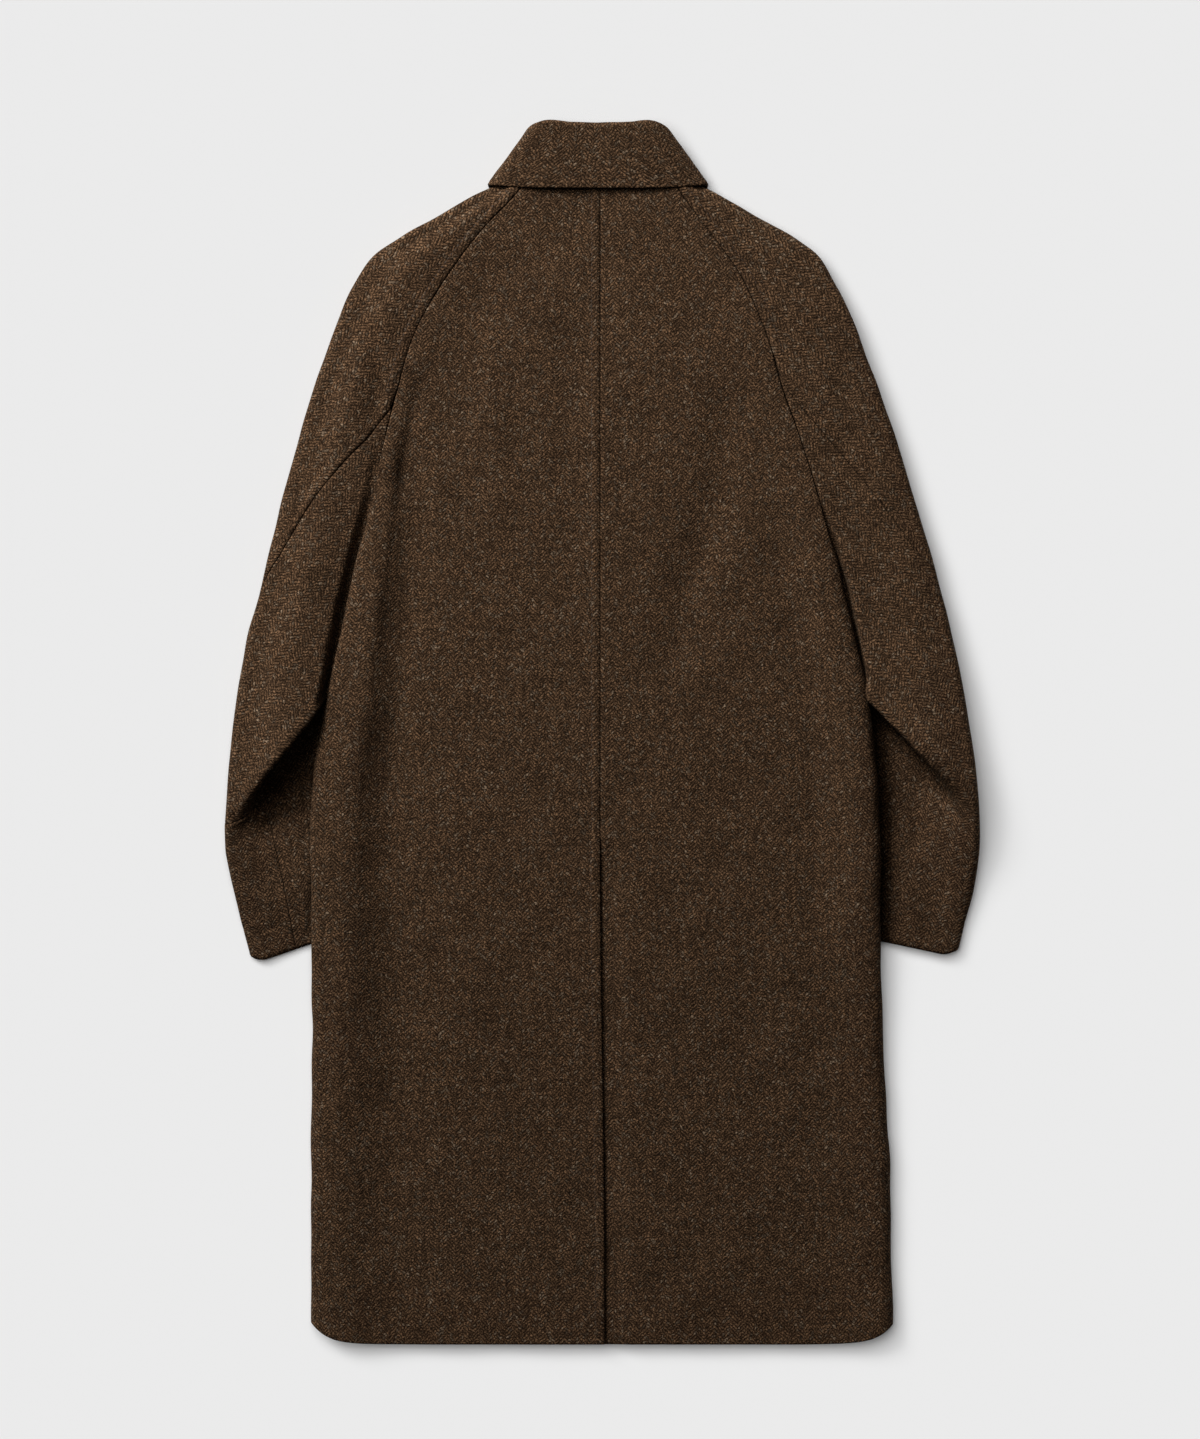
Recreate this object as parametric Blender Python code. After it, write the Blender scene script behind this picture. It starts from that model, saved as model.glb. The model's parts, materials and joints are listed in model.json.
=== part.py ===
"""Raglan coat in brown herringbone wool, lying face down on a flat surface with its back up.

Metres. +X is the right of the back seen from above, +Y points to the collar, +Z is up.
Each piece is one cut of cloth, worked out from the sections in the tables and given the cloth's wall.
"""

import functools
import math
from collections import namedtuple

import bmesh
import bpy
from mathutils import Vector

CLOTH = 0.0025
SEAM_GAP = 0.0003
FRONT_SEAM_GAP = 0.0010
SLEEVE_SEAM_GAP = 0.0022
LIFT = CLOTH + 0.0008
FLOOR = CLOTH / 2

SIDE_FOLD = 0.009
ROLL_WIDTH = 0.050
SEAM_DIP = math.radians(18)
RAGLAN_GAP = SEAM_GAP + 0.0004 + CLOTH * math.sin(SEAM_DIP)
SIDE_TURN = math.radians(135)
HEM_RISE = 0.020
HEM_ROUND_FROM = 0.150
HEM_ROUND = 0.112
HEM_FADE = 0.120

CENTRE_BACK = -0.002
VENT_TOP = -0.095
VENT_UNDERLAP = 0.045
VENT_DRIFT = 0.004

COLLAR_CENTRE = -0.004
COLLAR_ROLL = 0.0024
FRONT_NECK_Y = 0.398
FRONT_NECK_SLOPE = math.radians(45.7)

SLEEVE_FOLD = 0.008
CUFF_FOLD = 0.005
SLEEVE_ARC = 0.08
FRONT_SEAM_BACKSET = 0.0205
UNDER_SEAM = 0.12

# Sections of the body from hem to neck. left, right: distance of the side fold or raglan seam.
# ridge: height just inside that edge. rest: height its underside turns to. turn: 1 where it
# turns under to the side seam, 0 where it is cut at the raglan seam. middle: height of the back.
Body = namedtuple(
    "Body", "y left right ridge_left ridge_right rest_left rest_right turn_left turn_right middle"
)
BODY = (
    Body(-0.5510, 0.2615, 0.2605, 0.0165, 0.0155, 0.0000, 0.0000, 1.0, 1.0, 0.0130),
    Body(-0.4000, 0.2615, 0.2580, 0.0170, 0.0160, 0.0000, 0.0000, 1.0, 1.0, 0.0135),
    Body(-0.2800, 0.2605, 0.2515, 0.0185, 0.0175, 0.0000, 0.0000, 1.0, 1.0, 0.0150),
    Body(-0.2050, 0.2610, 0.2495, 0.0260, 0.0245, 0.0115, 0.0115, 1.0, 1.0, 0.0170),
    Body(-0.1060, 0.2615, 0.2490, 0.0270, 0.0255, 0.0115, 0.0115, 1.0, 1.0, 0.0174),
    Body(-0.0430, 0.2597, 0.2460, 0.0272, 0.0256, 0.0115, 0.0115, 1.0, 1.0, 0.0174),
    Body(0.0270, 0.2470, 0.2390, 0.0272, 0.0255, 0.0115, 0.0115, 1.0, 1.0, 0.0174),
    Body(0.1020, 0.2320, 0.2220, 0.0272, 0.0250, 0.0115, 0.0115, 1.0, 1.0, 0.0174),
    Body(0.1500, 0.2215, 0.2110, 0.0268, 0.0240, 0.0115, 0.0115, 1.0, 0.7, 0.0174),
    Body(0.1850, 0.2120, 0.2013, 0.0262, 0.0222, 0.0115, 0.0080, 0.8, 0.1, 0.0174),
    Body(0.2150, 0.2050, 0.1930, 0.0252, 0.0214, 0.0115, 0.0020, 0.4, 0.0, 0.0174),
    Body(0.2400, 0.2008, 0.1855, 0.0240, 0.0203, 0.0060, 0.0000, 0.1, 0.0, 0.0174),
    Body(0.2680, 0.1945, 0.1765, 0.0210, 0.0200, 0.0000, 0.0000, 0.0, 0.0, 0.0175),
    Body(0.3100, 0.1838, 0.1615, 0.0200, 0.0200, 0.0000, 0.0000, 0.0, 0.0, 0.0176),
    Body(0.3500, 0.1720, 0.1500, 0.0200, 0.0200, 0.0000, 0.0000, 0.0, 0.0, 0.0177),
    Body(0.3800, 0.1580, 0.1386, 0.0200, 0.0200, 0.0000, 0.0000, 0.0, 0.0, 0.0178),
    Body(0.4107, 0.1390, 0.1240, 0.0200, 0.0200, 0.0000, 0.0000, 0.0, 0.0, 0.0179),
    Body(0.4365, 0.1200, 0.1060, 0.0200, 0.0200, 0.0000, 0.0000, 0.0, 0.0, 0.0180),
    Body(0.4570, 0.1030, 0.0905, 0.0200, 0.0200, 0.0000, 0.0000, 0.0, 0.0, 0.0182),
    Body(0.4800, 0.0810, 0.0735, 0.0200, 0.0200, 0.0000, 0.0000, 0.0, 0.0, 0.0184),
    Body(0.5000, 0.0640, 0.0600, 0.0200, 0.0200, 0.0000, 0.0000, 0.0, 0.0, 0.0186),
)

# Sections of the fronts. past: how far each runs past the centre front, below 0 along the neckline.
# left, right: distance of the outer edge. rest: height of the sleeve that its side lies on.
# turned: 1 where the outer edge turns up to the side seam.
Front = namedtuple("Front", "y past left right rest turned")
FRONT = (
    Front(-0.5510, 0.045, 0.2525, 0.2515, 0.0000, 1.0),
    Front(-0.4000, 0.045, 0.2525, 0.2490, 0.0000, 1.0),
    Front(-0.2800, 0.045, 0.2515, 0.2425, 0.0000, 1.0),
    Front(-0.2050, 0.045, 0.2520, 0.2405, 0.0115, 1.0),
    Front(-0.1060, 0.045, 0.2525, 0.2400, 0.0115, 1.0),
    Front(0.0270, 0.045, 0.2380, 0.2300, 0.0115, 1.0),
    Front(0.0900, 0.045, 0.2250, 0.2155, 0.0115, 1.0),
    Front(0.1200, 0.045, 0.2020, 0.1960, 0.0115, 0.0),
    Front(0.1600, 0.045, 0.1760, 0.1740, 0.0100, 0.0),
    Front(0.2050, 0.045, 0.1745, 0.1700, 0.0000, 0.0),
    Front(0.2400, 0.045, 0.1730, 0.1630, 0.0000, 0.0),
    Front(0.3100, 0.045, 0.1580, 0.1440, 0.0000, 0.0),
    Front(0.3650, 0.045, 0.1405, 0.1275, 0.0000, 0.0),
    Front(0.3900, 0.005, 0.1315, 0.1190, 0.0000, 0.0),
    Front(0.4200, -0.036, 0.1180, 0.1065, 0.0000, 0.0),
    Front(0.4780, -0.077, 0.0842, 0.0785, 0.0000, 0.0),
)

# Rings of a sleeve from neck to cuff. outer, inner: ends of the ring in plan. edge: height over the
# outer fold. crown: greatest height. tuck: height at the inner end, under the body. cover: share of
# the ring clear of the body. floor: height of the lower wall. closed: 0 where the ring opens to the
# body, 1 where it is a tube. overhang: reach of the elbow fold. seam: place of the sleeve seam.
Ring = namedtuple(
    "Ring",
    "outer_x outer_y inner_x inner_y edge crown tuck cover floor closed overhang seam",
)
SLEEVES = {
    "left": (
        Ring(0.0820, 0.4985, 0.064, 0.5000, 0.0150, 0.0190, 0.0200, 1.00, 0.0047, 0.0, 0.000, 0.00),
        Ring(0.1060, 0.4850, 0.081, 0.4800, 0.0150, 0.0202, 0.0200, 1.00, 0.0047, 0.0, 0.000, 0.00),
        Ring(0.1440, 0.4660, 0.103, 0.4570, 0.0150, 0.0212, 0.0200, 1.00, 0.0030, 0.0, 0.000, 0.00),
        Ring(0.1780, 0.4462, 0.120, 0.4365, 0.0150, 0.0220, 0.0200, 1.00, FLOOR, 0.0, 0.000, 0.00),
        Ring(0.2060, 0.4270, 0.139, 0.4107, 0.0150, 0.0226, 0.0200, 1.00, FLOOR, 0.0, 0.000, 0.00),
        Ring(0.2230, 0.4020, 0.158, 0.3800, 0.0150, 0.0232, 0.0200, 1.00, FLOOR, 0.0, 0.000, 0.00),
        Ring(0.2380, 0.3670, 0.172, 0.3500, 0.0150, 0.0238, 0.0200, 1.00, FLOOR, 0.0, 0.000, 0.00),
        Ring(0.2540, 0.3230, 0.184, 0.3100, 0.0150, 0.0242, 0.0200, 1.00, FLOOR, 0.0, 0.000, 0.00),
        Ring(0.2700, 0.2720, 0.195, 0.2680, 0.0150, 0.0245, 0.0200, 1.00, FLOOR, 0.0, 0.000, 0.22),
        Ring(0.2875, 0.2090, 0.189, 0.2080, 0.0150, 0.0255, 0.0096, 0.72, FLOOR, 1.0, 0.000, 0.74),
        Ring(0.3090, 0.1190, 0.185, 0.1500, 0.0150, 0.0275, 0.0095, 0.56, FLOOR, 1.0, 0.000, 1.00),
        Ring(0.3210, 0.0740, 0.185, 0.1260, 0.0150, 0.0300, 0.0096, 0.56, FLOOR, 1.0, 0.000, 1.04),
        Ring(0.3330, -0.0120, 0.186, 0.1180, 0.0145, 0.0350, 0.0096, 0.54, FLOOR, 1.0, 0.000, 1.04),
        Ring(0.3380, -0.0840, 0.187, 0.1115, 0.0120, 0.0380, 0.0096, 0.54, FLOOR, 1.0, 0.000, 1.04),
        Ring(0.3384, -0.0875, 0.187, 0.1085, 0.0116, 0.0320, 0.0096, 0.54, FLOOR, 1.0, 0.006, 0.98),
        Ring(0.3387, -0.0910, 0.187, 0.1055, 0.0113, 0.0220, 0.0096, 0.54, FLOOR, 1.0, 0.001, 0.92),
        Ring(0.3389, -0.0945, 0.187, 0.1025, 0.0110, 0.0120, 0.0095, 0.54, FLOOR, 1.0, -0.009, 0.86),
        Ring(0.3390, -0.0980, 0.187, 0.0995, 0.0107, 0.0101, 0.0095, 0.54, FLOOR, 1.0, -0.005, 0.80),
        Ring(0.3375, -0.1080, 0.183, 0.0600, 0.0100, 0.0102, 0.0095, 0.53, FLOOR, 1.0, 0.000, 0.75),
        Ring(0.3335, -0.1300, 0.178, -0.0100, 0.0092, 0.0103, 0.0095, 0.47, FLOOR, 1.0, 0.000, 0.74),
        Ring(0.3265, -0.1600, 0.175, -0.0850, 0.0090, 0.0103, 0.0095, 0.43, FLOOR, 1.0, 0.000, 0.73),
        Ring(0.3085, -0.2035, 0.172, -0.1600, 0.0088, 0.0102, 0.0095, 0.35, FLOOR, 1.0, 0.000, 0.72),
    ),
    "right": (
        Ring(0.0745, 0.4985, 0.060, 0.5000, 0.0150, 0.0190, 0.0200, 1.00, 0.0047, 0.0, 0.000, 0.00),
        Ring(0.0965, 0.4865, 0.074, 0.4800, 0.0150, 0.0202, 0.0200, 1.00, 0.0047, 0.0, 0.000, 0.00),
        Ring(0.1320, 0.4675, 0.091, 0.4570, 0.0150, 0.0212, 0.0200, 1.00, 0.0030, 0.0, 0.000, 0.00),
        Ring(0.1640, 0.4484, 0.106, 0.4365, 0.0150, 0.0220, 0.0200, 1.00, FLOOR, 0.0, 0.000, 0.00),
        Ring(0.1930, 0.4280, 0.124, 0.4107, 0.0150, 0.0226, 0.0200, 1.00, FLOOR, 0.0, 0.000, 0.00),
        Ring(0.2090, 0.4020, 0.139, 0.3800, 0.0150, 0.0232, 0.0200, 1.00, FLOOR, 0.0, 0.000, 0.00),
        Ring(0.2250, 0.3670, 0.150, 0.3500, 0.0150, 0.0238, 0.0200, 1.00, FLOOR, 0.0, 0.000, 0.00),
        Ring(0.2420, 0.3220, 0.162, 0.3100, 0.0150, 0.0242, 0.0200, 1.00, FLOOR, 0.0, 0.000, 0.09),
        Ring(0.2590, 0.2750, 0.177, 0.2680, 0.0150, 0.0245, 0.0200, 1.00, FLOOR, 0.0, 0.000, 0.29),
        Ring(0.2695, 0.2430, 0.186, 0.2400, 0.0150, 0.0247, 0.0200, 1.00, FLOOR, 0.0, 0.000, 0.45),
        Ring(0.2778, 0.2150, 0.193, 0.2150, 0.0150, 0.0248, 0.0195, 1.00, FLOOR, 0.0, 0.000, 0.60),
        Ring(0.2945, 0.1580, 0.186, 0.1500, 0.0150, 0.0258, 0.0096, 0.70, FLOOR, 1.0, 0.000, 0.90),
        Ring(0.3055, 0.1190, 0.185, 0.1250, 0.0150, 0.0270, 0.0095, 0.63, FLOOR, 1.0, 0.000, 1.00),
        Ring(0.3160, 0.0740, 0.184, 0.1020, 0.0150, 0.0290, 0.0096, 0.63, FLOOR, 1.0, 0.000, 1.04),
        Ring(0.3320, -0.0100, 0.185, 0.0880, 0.0145, 0.0330, 0.0096, 0.63, FLOOR, 1.0, 0.000, 1.04),
        Ring(0.3385, -0.0690, 0.186, 0.0810, 0.0122, 0.0345, 0.0096, 0.63, FLOOR, 1.0, 0.000, 1.04),
        Ring(0.3389, -0.0725, 0.186, 0.0780, 0.0119, 0.0290, 0.0096, 0.63, FLOOR, 1.0, 0.004, 1.04),
        Ring(0.3392, -0.0760, 0.186, 0.0750, 0.0116, 0.0200, 0.0096, 0.63, FLOOR, 1.0, 0.001, 1.04),
        Ring(0.3394, -0.0795, 0.186, 0.0720, 0.0113, 0.0120, 0.0095, 0.63, FLOOR, 1.0, -0.007, 1.04),
        Ring(0.3396, -0.0830, 0.186, 0.0690, 0.0110, 0.0102, 0.0095, 0.63, FLOOR, 1.0, -0.004, 1.04),
        Ring(0.3395, -0.0940, 0.183, 0.0400, 0.0102, 0.0102, 0.0095, 0.61, FLOOR, 1.0, 0.000, 1.04),
        Ring(0.3375, -0.1150, 0.180, -0.0200, 0.0094, 0.0103, 0.0095, 0.57, FLOOR, 1.0, 0.000, 1.04),
        Ring(0.3330, -0.1420, 0.177, -0.0900, 0.0090, 0.0103, 0.0095, 0.54, FLOOR, 1.0, 0.000, 1.04),
        Ring(0.3180, -0.1975, 0.174, -0.1720, 0.0088, 0.0102, 0.0095, 0.47, FLOOR, 1.0, 0.000, 1.04),
    ),
}

# Half of the collar from the centre back round the neck to its front end. roll: the fold. edge: the
# free edge of the fall. neck: the seam to the neckline. turn: 0 on the back, 1 in front.
Collar = namedtuple("Collar", "roll_x roll_y edge_x edge_y neck_x neck_y turn")
COLLAR = (
    Collar(0.0000, 0.5485, 0.0000, 0.4885, 0.0000, 0.5006, 0.00),
    Collar(0.0280, 0.5495, 0.0400, 0.4885, 0.0280, 0.5006, 0.00),
    Collar(0.0450, 0.5512, 0.0700, 0.4895, 0.0450, 0.5006, 0.03),
    Collar(0.0560, 0.5485, 0.0890, 0.4910, 0.0580, 0.5010, 0.18),
    Collar(0.0620, 0.5415, 0.0990, 0.4920, 0.0690, 0.5020, 0.50),
    Collar(0.0600, 0.5290, 0.0985, 0.4905, 0.0710, 0.5000, 0.82),
    Collar(0.0540, 0.5110, 0.0950, 0.4860, 0.0670, 0.4880, 0.97),
    Collar(0.0300, 0.4640, 0.0680, 0.4050, 0.0360, 0.4420, 1.00),
    Collar(0.0060, 0.4250, 0.0450, 0.3520, 0.0050, 0.4040, 1.00),
)
ROLL_HEIGHTS = (0.0234, FLOOR + COLLAR_ROLL)
EDGE_HEIGHTS = (0.0234, FLOOR)
NECK_HEIGHTS = (0.0190, 0.0046)

# Soft folds of the back: a trough (depth above 0) or a ridge (below 0) from one end to the other.
Fold = namedtuple("Fold", "from_x from_y to_x to_y half_width depth")
BACK_FOLDS = (
    Fold(0.101, 0.330, 0.061, 0.030, 0.024, 0.0022),
    Fold(-0.038, 0.370, -0.043, 0.140, 0.020, 0.0016),
    Fold(-0.097, 0.380, -0.092, 0.140, 0.018, -0.0018),
)

WOOL = (0.050, 0.032, 0.020, 1.0)
WOOL_ROUGHNESS = 0.9
SIGN = {"left": -1.0, "right": 1.0}


def ease(value, start, end):
    """0 at start, 1 at end, smooth between."""
    share = min(max((value - start) / (end - start), 0.0), 1.0)
    return share * share * (3.0 - 2.0 * share)


def mix(first, second, share):
    return first + (second - first) * share


def slope(values, k):
    """Slope of a smooth curve through the values at row k, flat where they turn back."""
    before = values[k] - values[k - 1] if k > 0 else values[1] - values[0]
    after = values[k + 1] - values[k] if k < len(values) - 1 else before
    if before * after <= 0.0:
        return 0.0
    return 2.0 * before * after / (before + after)


@functools.lru_cache(maxsize=None)
def section(rows, share):
    """The row at a share of the way along a table, on smooth curves through its rows."""
    place = share * (len(rows) - 1)
    k = min(max(int(place), 0), len(rows) - 2)
    t = place - k
    made = []
    for values in zip(*rows):
        made.append(
            values[k] * (1 + 2 * t) * (1 - t) ** 2
            + slope(values, k) * t * (1 - t) ** 2
            + values[k + 1] * t * t * (3 - 2 * t)
            + slope(values, k + 1) * t * t * (t - 1)
        )
    return type(rows[0])(*made)


@functools.lru_cache(maxsize=None)
def section_at(rows, y):
    """The row of a table of rising y at this y."""
    low, high = 0.0, 1.0
    for _ in range(40):
        half = (low + high) / 2
        if section(rows, half).y < y:
            low = half
        else:
            high = half
    return section(rows, low)


def hem(distance, y):
    """y with the corners of the hem rounded up."""
    corner = max(abs(distance) - HEM_ROUND_FROM, 0.0) / HEM_ROUND
    return y + HEM_RISE * corner**4 * (1.0 - ease(y - BODY[0].y, 0.0, HEM_FADE))


def fold_relief(x, y):
    total = 0.0
    for fold in BACK_FOLDS:
        run = Vector((fold.to_x - fold.from_x, fold.to_y - fold.from_y))
        step = Vector((x - fold.from_x, y - fold.from_y))
        share = step.dot(run) / run.length_squared
        aside = (step - run * share).length / fold.half_width
        ends = ease(share, 0.0, 0.3) * ease(1.0 - share, 0.0, 0.3)
        total -= fold.depth * math.exp(-aside * aside) * ends
    return total


def side_of(row, column, side):
    return getattr(row, f"{column}_{side}")


def back_height(row, side, distance, y):
    """Height of the back's wall at a distance from the centre."""
    inside = getattr(row, side) - distance
    roll = 1.0 - ease(inside, SIDE_FOLD, ROLL_WIDTH)
    height = mix(row.middle, side_of(row, "ridge", side), roll)
    return height + fold_relief(SIGN[side] * distance, y) * (1.0 - roll)


def back_place(side, top_share, lap_share):
    """Points of a half back: u from the centre back to the side seam, v from hem to neck."""

    def place(u, v):
        row = section(BODY, v)
        turn = mix(SEAM_DIP, SIDE_TURN, side_of(row, "turn", side))
        reach = SIDE_FOLD * math.sin(min(turn, math.pi / 2))
        top_end = getattr(row, side) - RAGLAN_GAP / 2 - reach
        below_vent = VENT_TOP - row.y
        start = SIGN[side] * CENTRE_BACK + SEAM_GAP / 2
        if side == "left":
            start -= VENT_DRIFT * ease(below_vent, 0.0, 0.4)
        else:
            start -= VENT_UNDERLAP * ease(below_vent, 0.012, 0.045)
        lap_end = 0.006
        if u < lap_share:
            distance = mix(start, lap_end, u / lap_share)
        elif u < top_share:
            way = (u - lap_share) / (top_share - lap_share)
            distance = mix(lap_end, top_end, way * (1.35 - 0.35 * way))
        else:
            distance = top_end
        height = back_height(row, side, distance, row.y)
        if side == "right":
            height -= LIFT * ease(below_vent, -0.050, -0.022) * (1.0 - ease(distance, lap_end, 0.030))
        if u > top_share:
            angle = turn * (u - top_share) / (1.0 - top_share)
            drop = (height - FLOOR - side_of(row, "rest", side)) / 2
            distance += SIDE_FOLD * math.sin(angle)
            height -= drop * (1.0 - math.cos(angle))
        return Vector((SIGN[side] * distance, hem(distance, row.y), height))

    return place


def front_edge(side, y):
    """Distance of a front's raglan seam."""
    return getattr(section_at(FRONT, y), side) + SIDE_FOLD * math.sin(SEAM_DIP)


def front_place(side, flat_share):
    """Points of a front: u from the front edge to the side seam, v from hem to neck."""

    def place(u, v):
        row = section(FRONT, v)
        body = section_at(BODY, row.y)
        outer = mix(getattr(row, side), getattr(body, side) - RAGLAN_GAP / 2 - SIDE_FOLD, row.turned)
        distance = mix(-row.past, outer, min(u / flat_share, 1.0))
        height = FLOOR + row.rest * ease(distance, 0.130, 0.166)
        neckline = abs(distance) * math.cos(math.pi / 2 - FRONT_NECK_SLOPE)
        neckline -= (row.y - FRONT_NECK_Y) * math.cos(FRONT_NECK_SLOPE)
        height += LIFT * (1.0 - ease(neckline, 0.074, 0.115))
        if side == "right":
            height += LIFT * (1.0 - ease(distance, 0.052, 0.085))
        if u > flat_share:
            way = (u - flat_share) / (1.0 - flat_share)
            angle = way * mix(SEAM_DIP, math.pi - SIDE_TURN - math.radians(4), row.turned)
            rise = (side_of(body, "ridge", side) - height) / 2 * row.turned
            distance += SIDE_FOLD * math.sin(angle)
            height += rise * (1.0 - math.cos(angle))
        return Vector((SIGN[side] * distance, hem(distance, row.y), height))

    return place


def ring_height(ring, share):
    """Height of a sleeve's upper wall at a share of the ring from its outer end."""
    outer_share = SLEEVE_FOLD / math.hypot(ring.outer_x - ring.inner_x, ring.outer_y - ring.inner_y)
    rise = ease(share, outer_share, mix(outer_share, ring.cover, 0.55))
    height = mix(ring.edge, ring.crown, rise)
    return mix(height, ring.tuck, ease(share, ring.cover * 0.72, ring.cover))


def ring_point(side, ring, q):
    """A point round a ring: q 0 at the upper wall's inner end, 1 at the outer fold, 2 at the end below."""
    if q < 0.0:
        q += 2.0
    upper = q <= 1.0
    way = q if upper else 2.0 - q
    outer = Vector((ring.outer_x, ring.outer_y))
    tube_end = Vector((ring.inner_x, ring.inner_y))
    if upper:
        seam_end = Vector((getattr(section_at(BODY, ring.inner_y), side), ring.inner_y))
    else:
        seam_y = ring.inner_y - FRONT_SEAM_BACKSET
        seam_end = Vector((front_edge(side, seam_y), seam_y))
    end = seam_end.lerp(tube_end, ring.closed)
    across = end - outer
    length = across.length - (RAGLAN_GAP / 2 if upper else FRONT_SEAM_GAP) * (1.0 - ring.closed)
    fold = mix(SIDE_FOLD, CUFF_FOLD, ring.closed)
    sweep = mix(SEAM_DIP, math.pi / 2, ring.closed)
    inner_stop = length - fold * math.sin(sweep)
    arc = (ring.tuck - ring.floor) / 2
    if way > 1.0 - SLEEVE_ARC:
        angle = (1.0 - way) / SLEEVE_ARC * math.pi / 2
        along = SLEEVE_FOLD * (1.0 - math.cos(angle))
        half = (ring.edge - ring.floor) / 2
        height = ring.floor + half + (half if upper else -half) * math.sin(angle)
    elif way > SLEEVE_ARC:
        along = mix(inner_stop, SLEEVE_FOLD, (way - SLEEVE_ARC) / (1.0 - 2 * SLEEVE_ARC))
        height = ring_height(ring, along / length) if upper else ring.floor
    else:
        angle = (1.0 - way / SLEEVE_ARC) * sweep
        along = inner_stop + fold * math.sin(angle)
        if upper:
            height = ring_height(ring, inner_stop / length) - arc * (1.0 - math.cos(angle))
        else:
            height = ring.floor + arc * ring.closed * (1.0 - math.cos(angle))
    spot = outer + across.normalized() * along
    if upper:
        share = along / length
        shown = ease(share, 0.06, 0.40) * (1.0 - ease(share, 0.80 * ring.cover, ring.cover))
        reach = ring.overhang * shown
        toward_cuff = Vector((-across.y, across.x)).normalized()
        spot -= toward_cuff * reach * (1.0 if toward_cuff.y > 0.0 else -1.0)
    return Vector((SIGN[side] * spot.x, spot.y, height))


def crowded(q):
    """Running count of columns up to q, with more of them round the folds at 0, 1 and 2."""
    return q + sum(0.45 * math.erf((q - fold) / 0.06) for fold in (0.0, 1.0, 2.0))


def spread(start, end, share):
    wanted = mix(crowded(start), crowded(end), share)
    low, high = start, end
    for _ in range(40):
        half = (low + high) / 2
        if crowded(half) < wanted:
            low = half
        else:
            high = half
    return low


def sleeve_place(side, piece, start):
    """Points of a sleeve piece: u round the ring, v from its top to the cuff."""

    def place(u, v):
        ring = section(SLEEVES[side], mix(start, 1.0, v))
        width = math.hypot(ring.outer_x - ring.inner_x, ring.outer_y - ring.inner_y)
        gap = SLEEVE_SEAM_GAP / 2 / width
        if piece == "top":
            start_q = ring.seam + gap * ease(ring.seam, 0.0, 0.02)
            end_q = 2.0 - (UNDER_SEAM + gap) * ring.closed
        else:
            start_q = (gap - UNDER_SEAM) * ease(ring.closed, 0.5, 1.0)
            end_q = ring.seam - gap
        q = spread(start_q, end_q, u)
        return ring_point(side, ring, q)

    return place


def collar_place(u, v):
    """Points of the collar: u from its left front end round the back, v from free edge to neck seam."""
    sign = -1.0 if u < 0.5 else 1.0
    row = section(COLLAR, abs(2.0 * u - 1.0))
    angle = row.turn * math.pi
    back = (1.0 + math.cos(angle)) / 2
    roll = Vector((row.roll_x, row.roll_y, mix(ROLL_HEIGHTS[1], ROLL_HEIGHTS[0], back)))
    edge = Vector((row.edge_x, row.edge_y, mix(EDGE_HEIGHTS[1], EDGE_HEIGHTS[0], back)))
    neck = Vector((row.neck_x, row.neck_y, mix(NECK_HEIGHTS[1], NECK_HEIGHTS[0], back)))
    rise = roll - (edge + neck) / 2
    rise.z = 0.0
    rise.normalize()
    outward = Vector((rise.y * math.sin(angle), -rise.x * math.sin(angle), math.cos(angle)))
    centre = roll - rise * COLLAR_ROLL
    fall_share, stand_share = 0.40, 0.70
    if v < fall_share:
        spot = edge.lerp(centre + outward * COLLAR_ROLL, v / fall_share)
    elif v < stand_share:
        bend = math.pi * (v - fall_share) / (stand_share - fall_share)
        spot = centre + (outward * math.cos(bend) + rise * math.sin(bend)) * COLLAR_ROLL
    else:
        spot = (centre - outward * COLLAR_ROLL).lerp(neck, (v - stand_share) / (1.0 - stand_share))
    return Vector((COLLAR_CENTRE + sign * spot.x, spot.y, spot.z))


def wall_direction(place, u, v, step=1e-4):
    """Unit direction across the cloth at a point of the sheet."""
    across = place(min(u + step, 1.0), v) - place(max(u - step, 0.0), v)
    along = place(u, min(v + step, 1.0)) - place(u, max(v - step, 0.0))
    return across.cross(along).normalized()


def wool():
    material = bpy.data.materials.new("herringbone_wool")
    material.use_nodes = True
    shader = material.node_tree.nodes["Principled BSDF"]
    shader.inputs["Base Color"].default_value = WOOL
    shader.inputs["Roughness"].default_value = WOOL_ROUGHNESS
    shader.inputs["Metallic"].default_value = 0.0
    return material


def cloth_piece(name, place, columns, rows):
    """A cut of cloth: a grid laid on the sheet's points, then extruded to the cloth's wall."""
    bm = bmesh.new()
    bmesh.ops.create_grid(bm, x_segments=columns, y_segments=rows, size=0.5)
    lower = list(bm.verts)
    made = bmesh.ops.extrude_face_region(bm, geom=bm.faces[:], use_keep_orig=True)
    upper = [item for item in made["geom"] if isinstance(item, bmesh.types.BMVert)]
    for wall, offset in ((lower, -CLOTH / 2), (upper, CLOTH / 2)):
        for vert in wall:
            u, v = vert.co.x + 0.5, vert.co.y + 0.5
            vert.co = place(u, v) + wall_direction(place, u, v) * offset
    bmesh.ops.recalc_face_normals(bm, faces=bm.faces[:])
    if bm.calc_volume(signed=True) < 0.0:
        bmesh.ops.reverse_faces(bm, faces=bm.faces[:])
    mesh = bpy.data.meshes.new(name)
    bm.to_mesh(mesh)
    bm.free()
    mesh.materials.append(wool())
    made_object = bpy.data.objects.new(name, mesh)
    coat.objects.link(made_object)


for old in list(bpy.data.objects):
    bpy.data.objects.remove(old, do_unlink=True)
coat = bpy.data.collections.new("raglan_coat")
bpy.context.scene.collection.children.link(coat)

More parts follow.
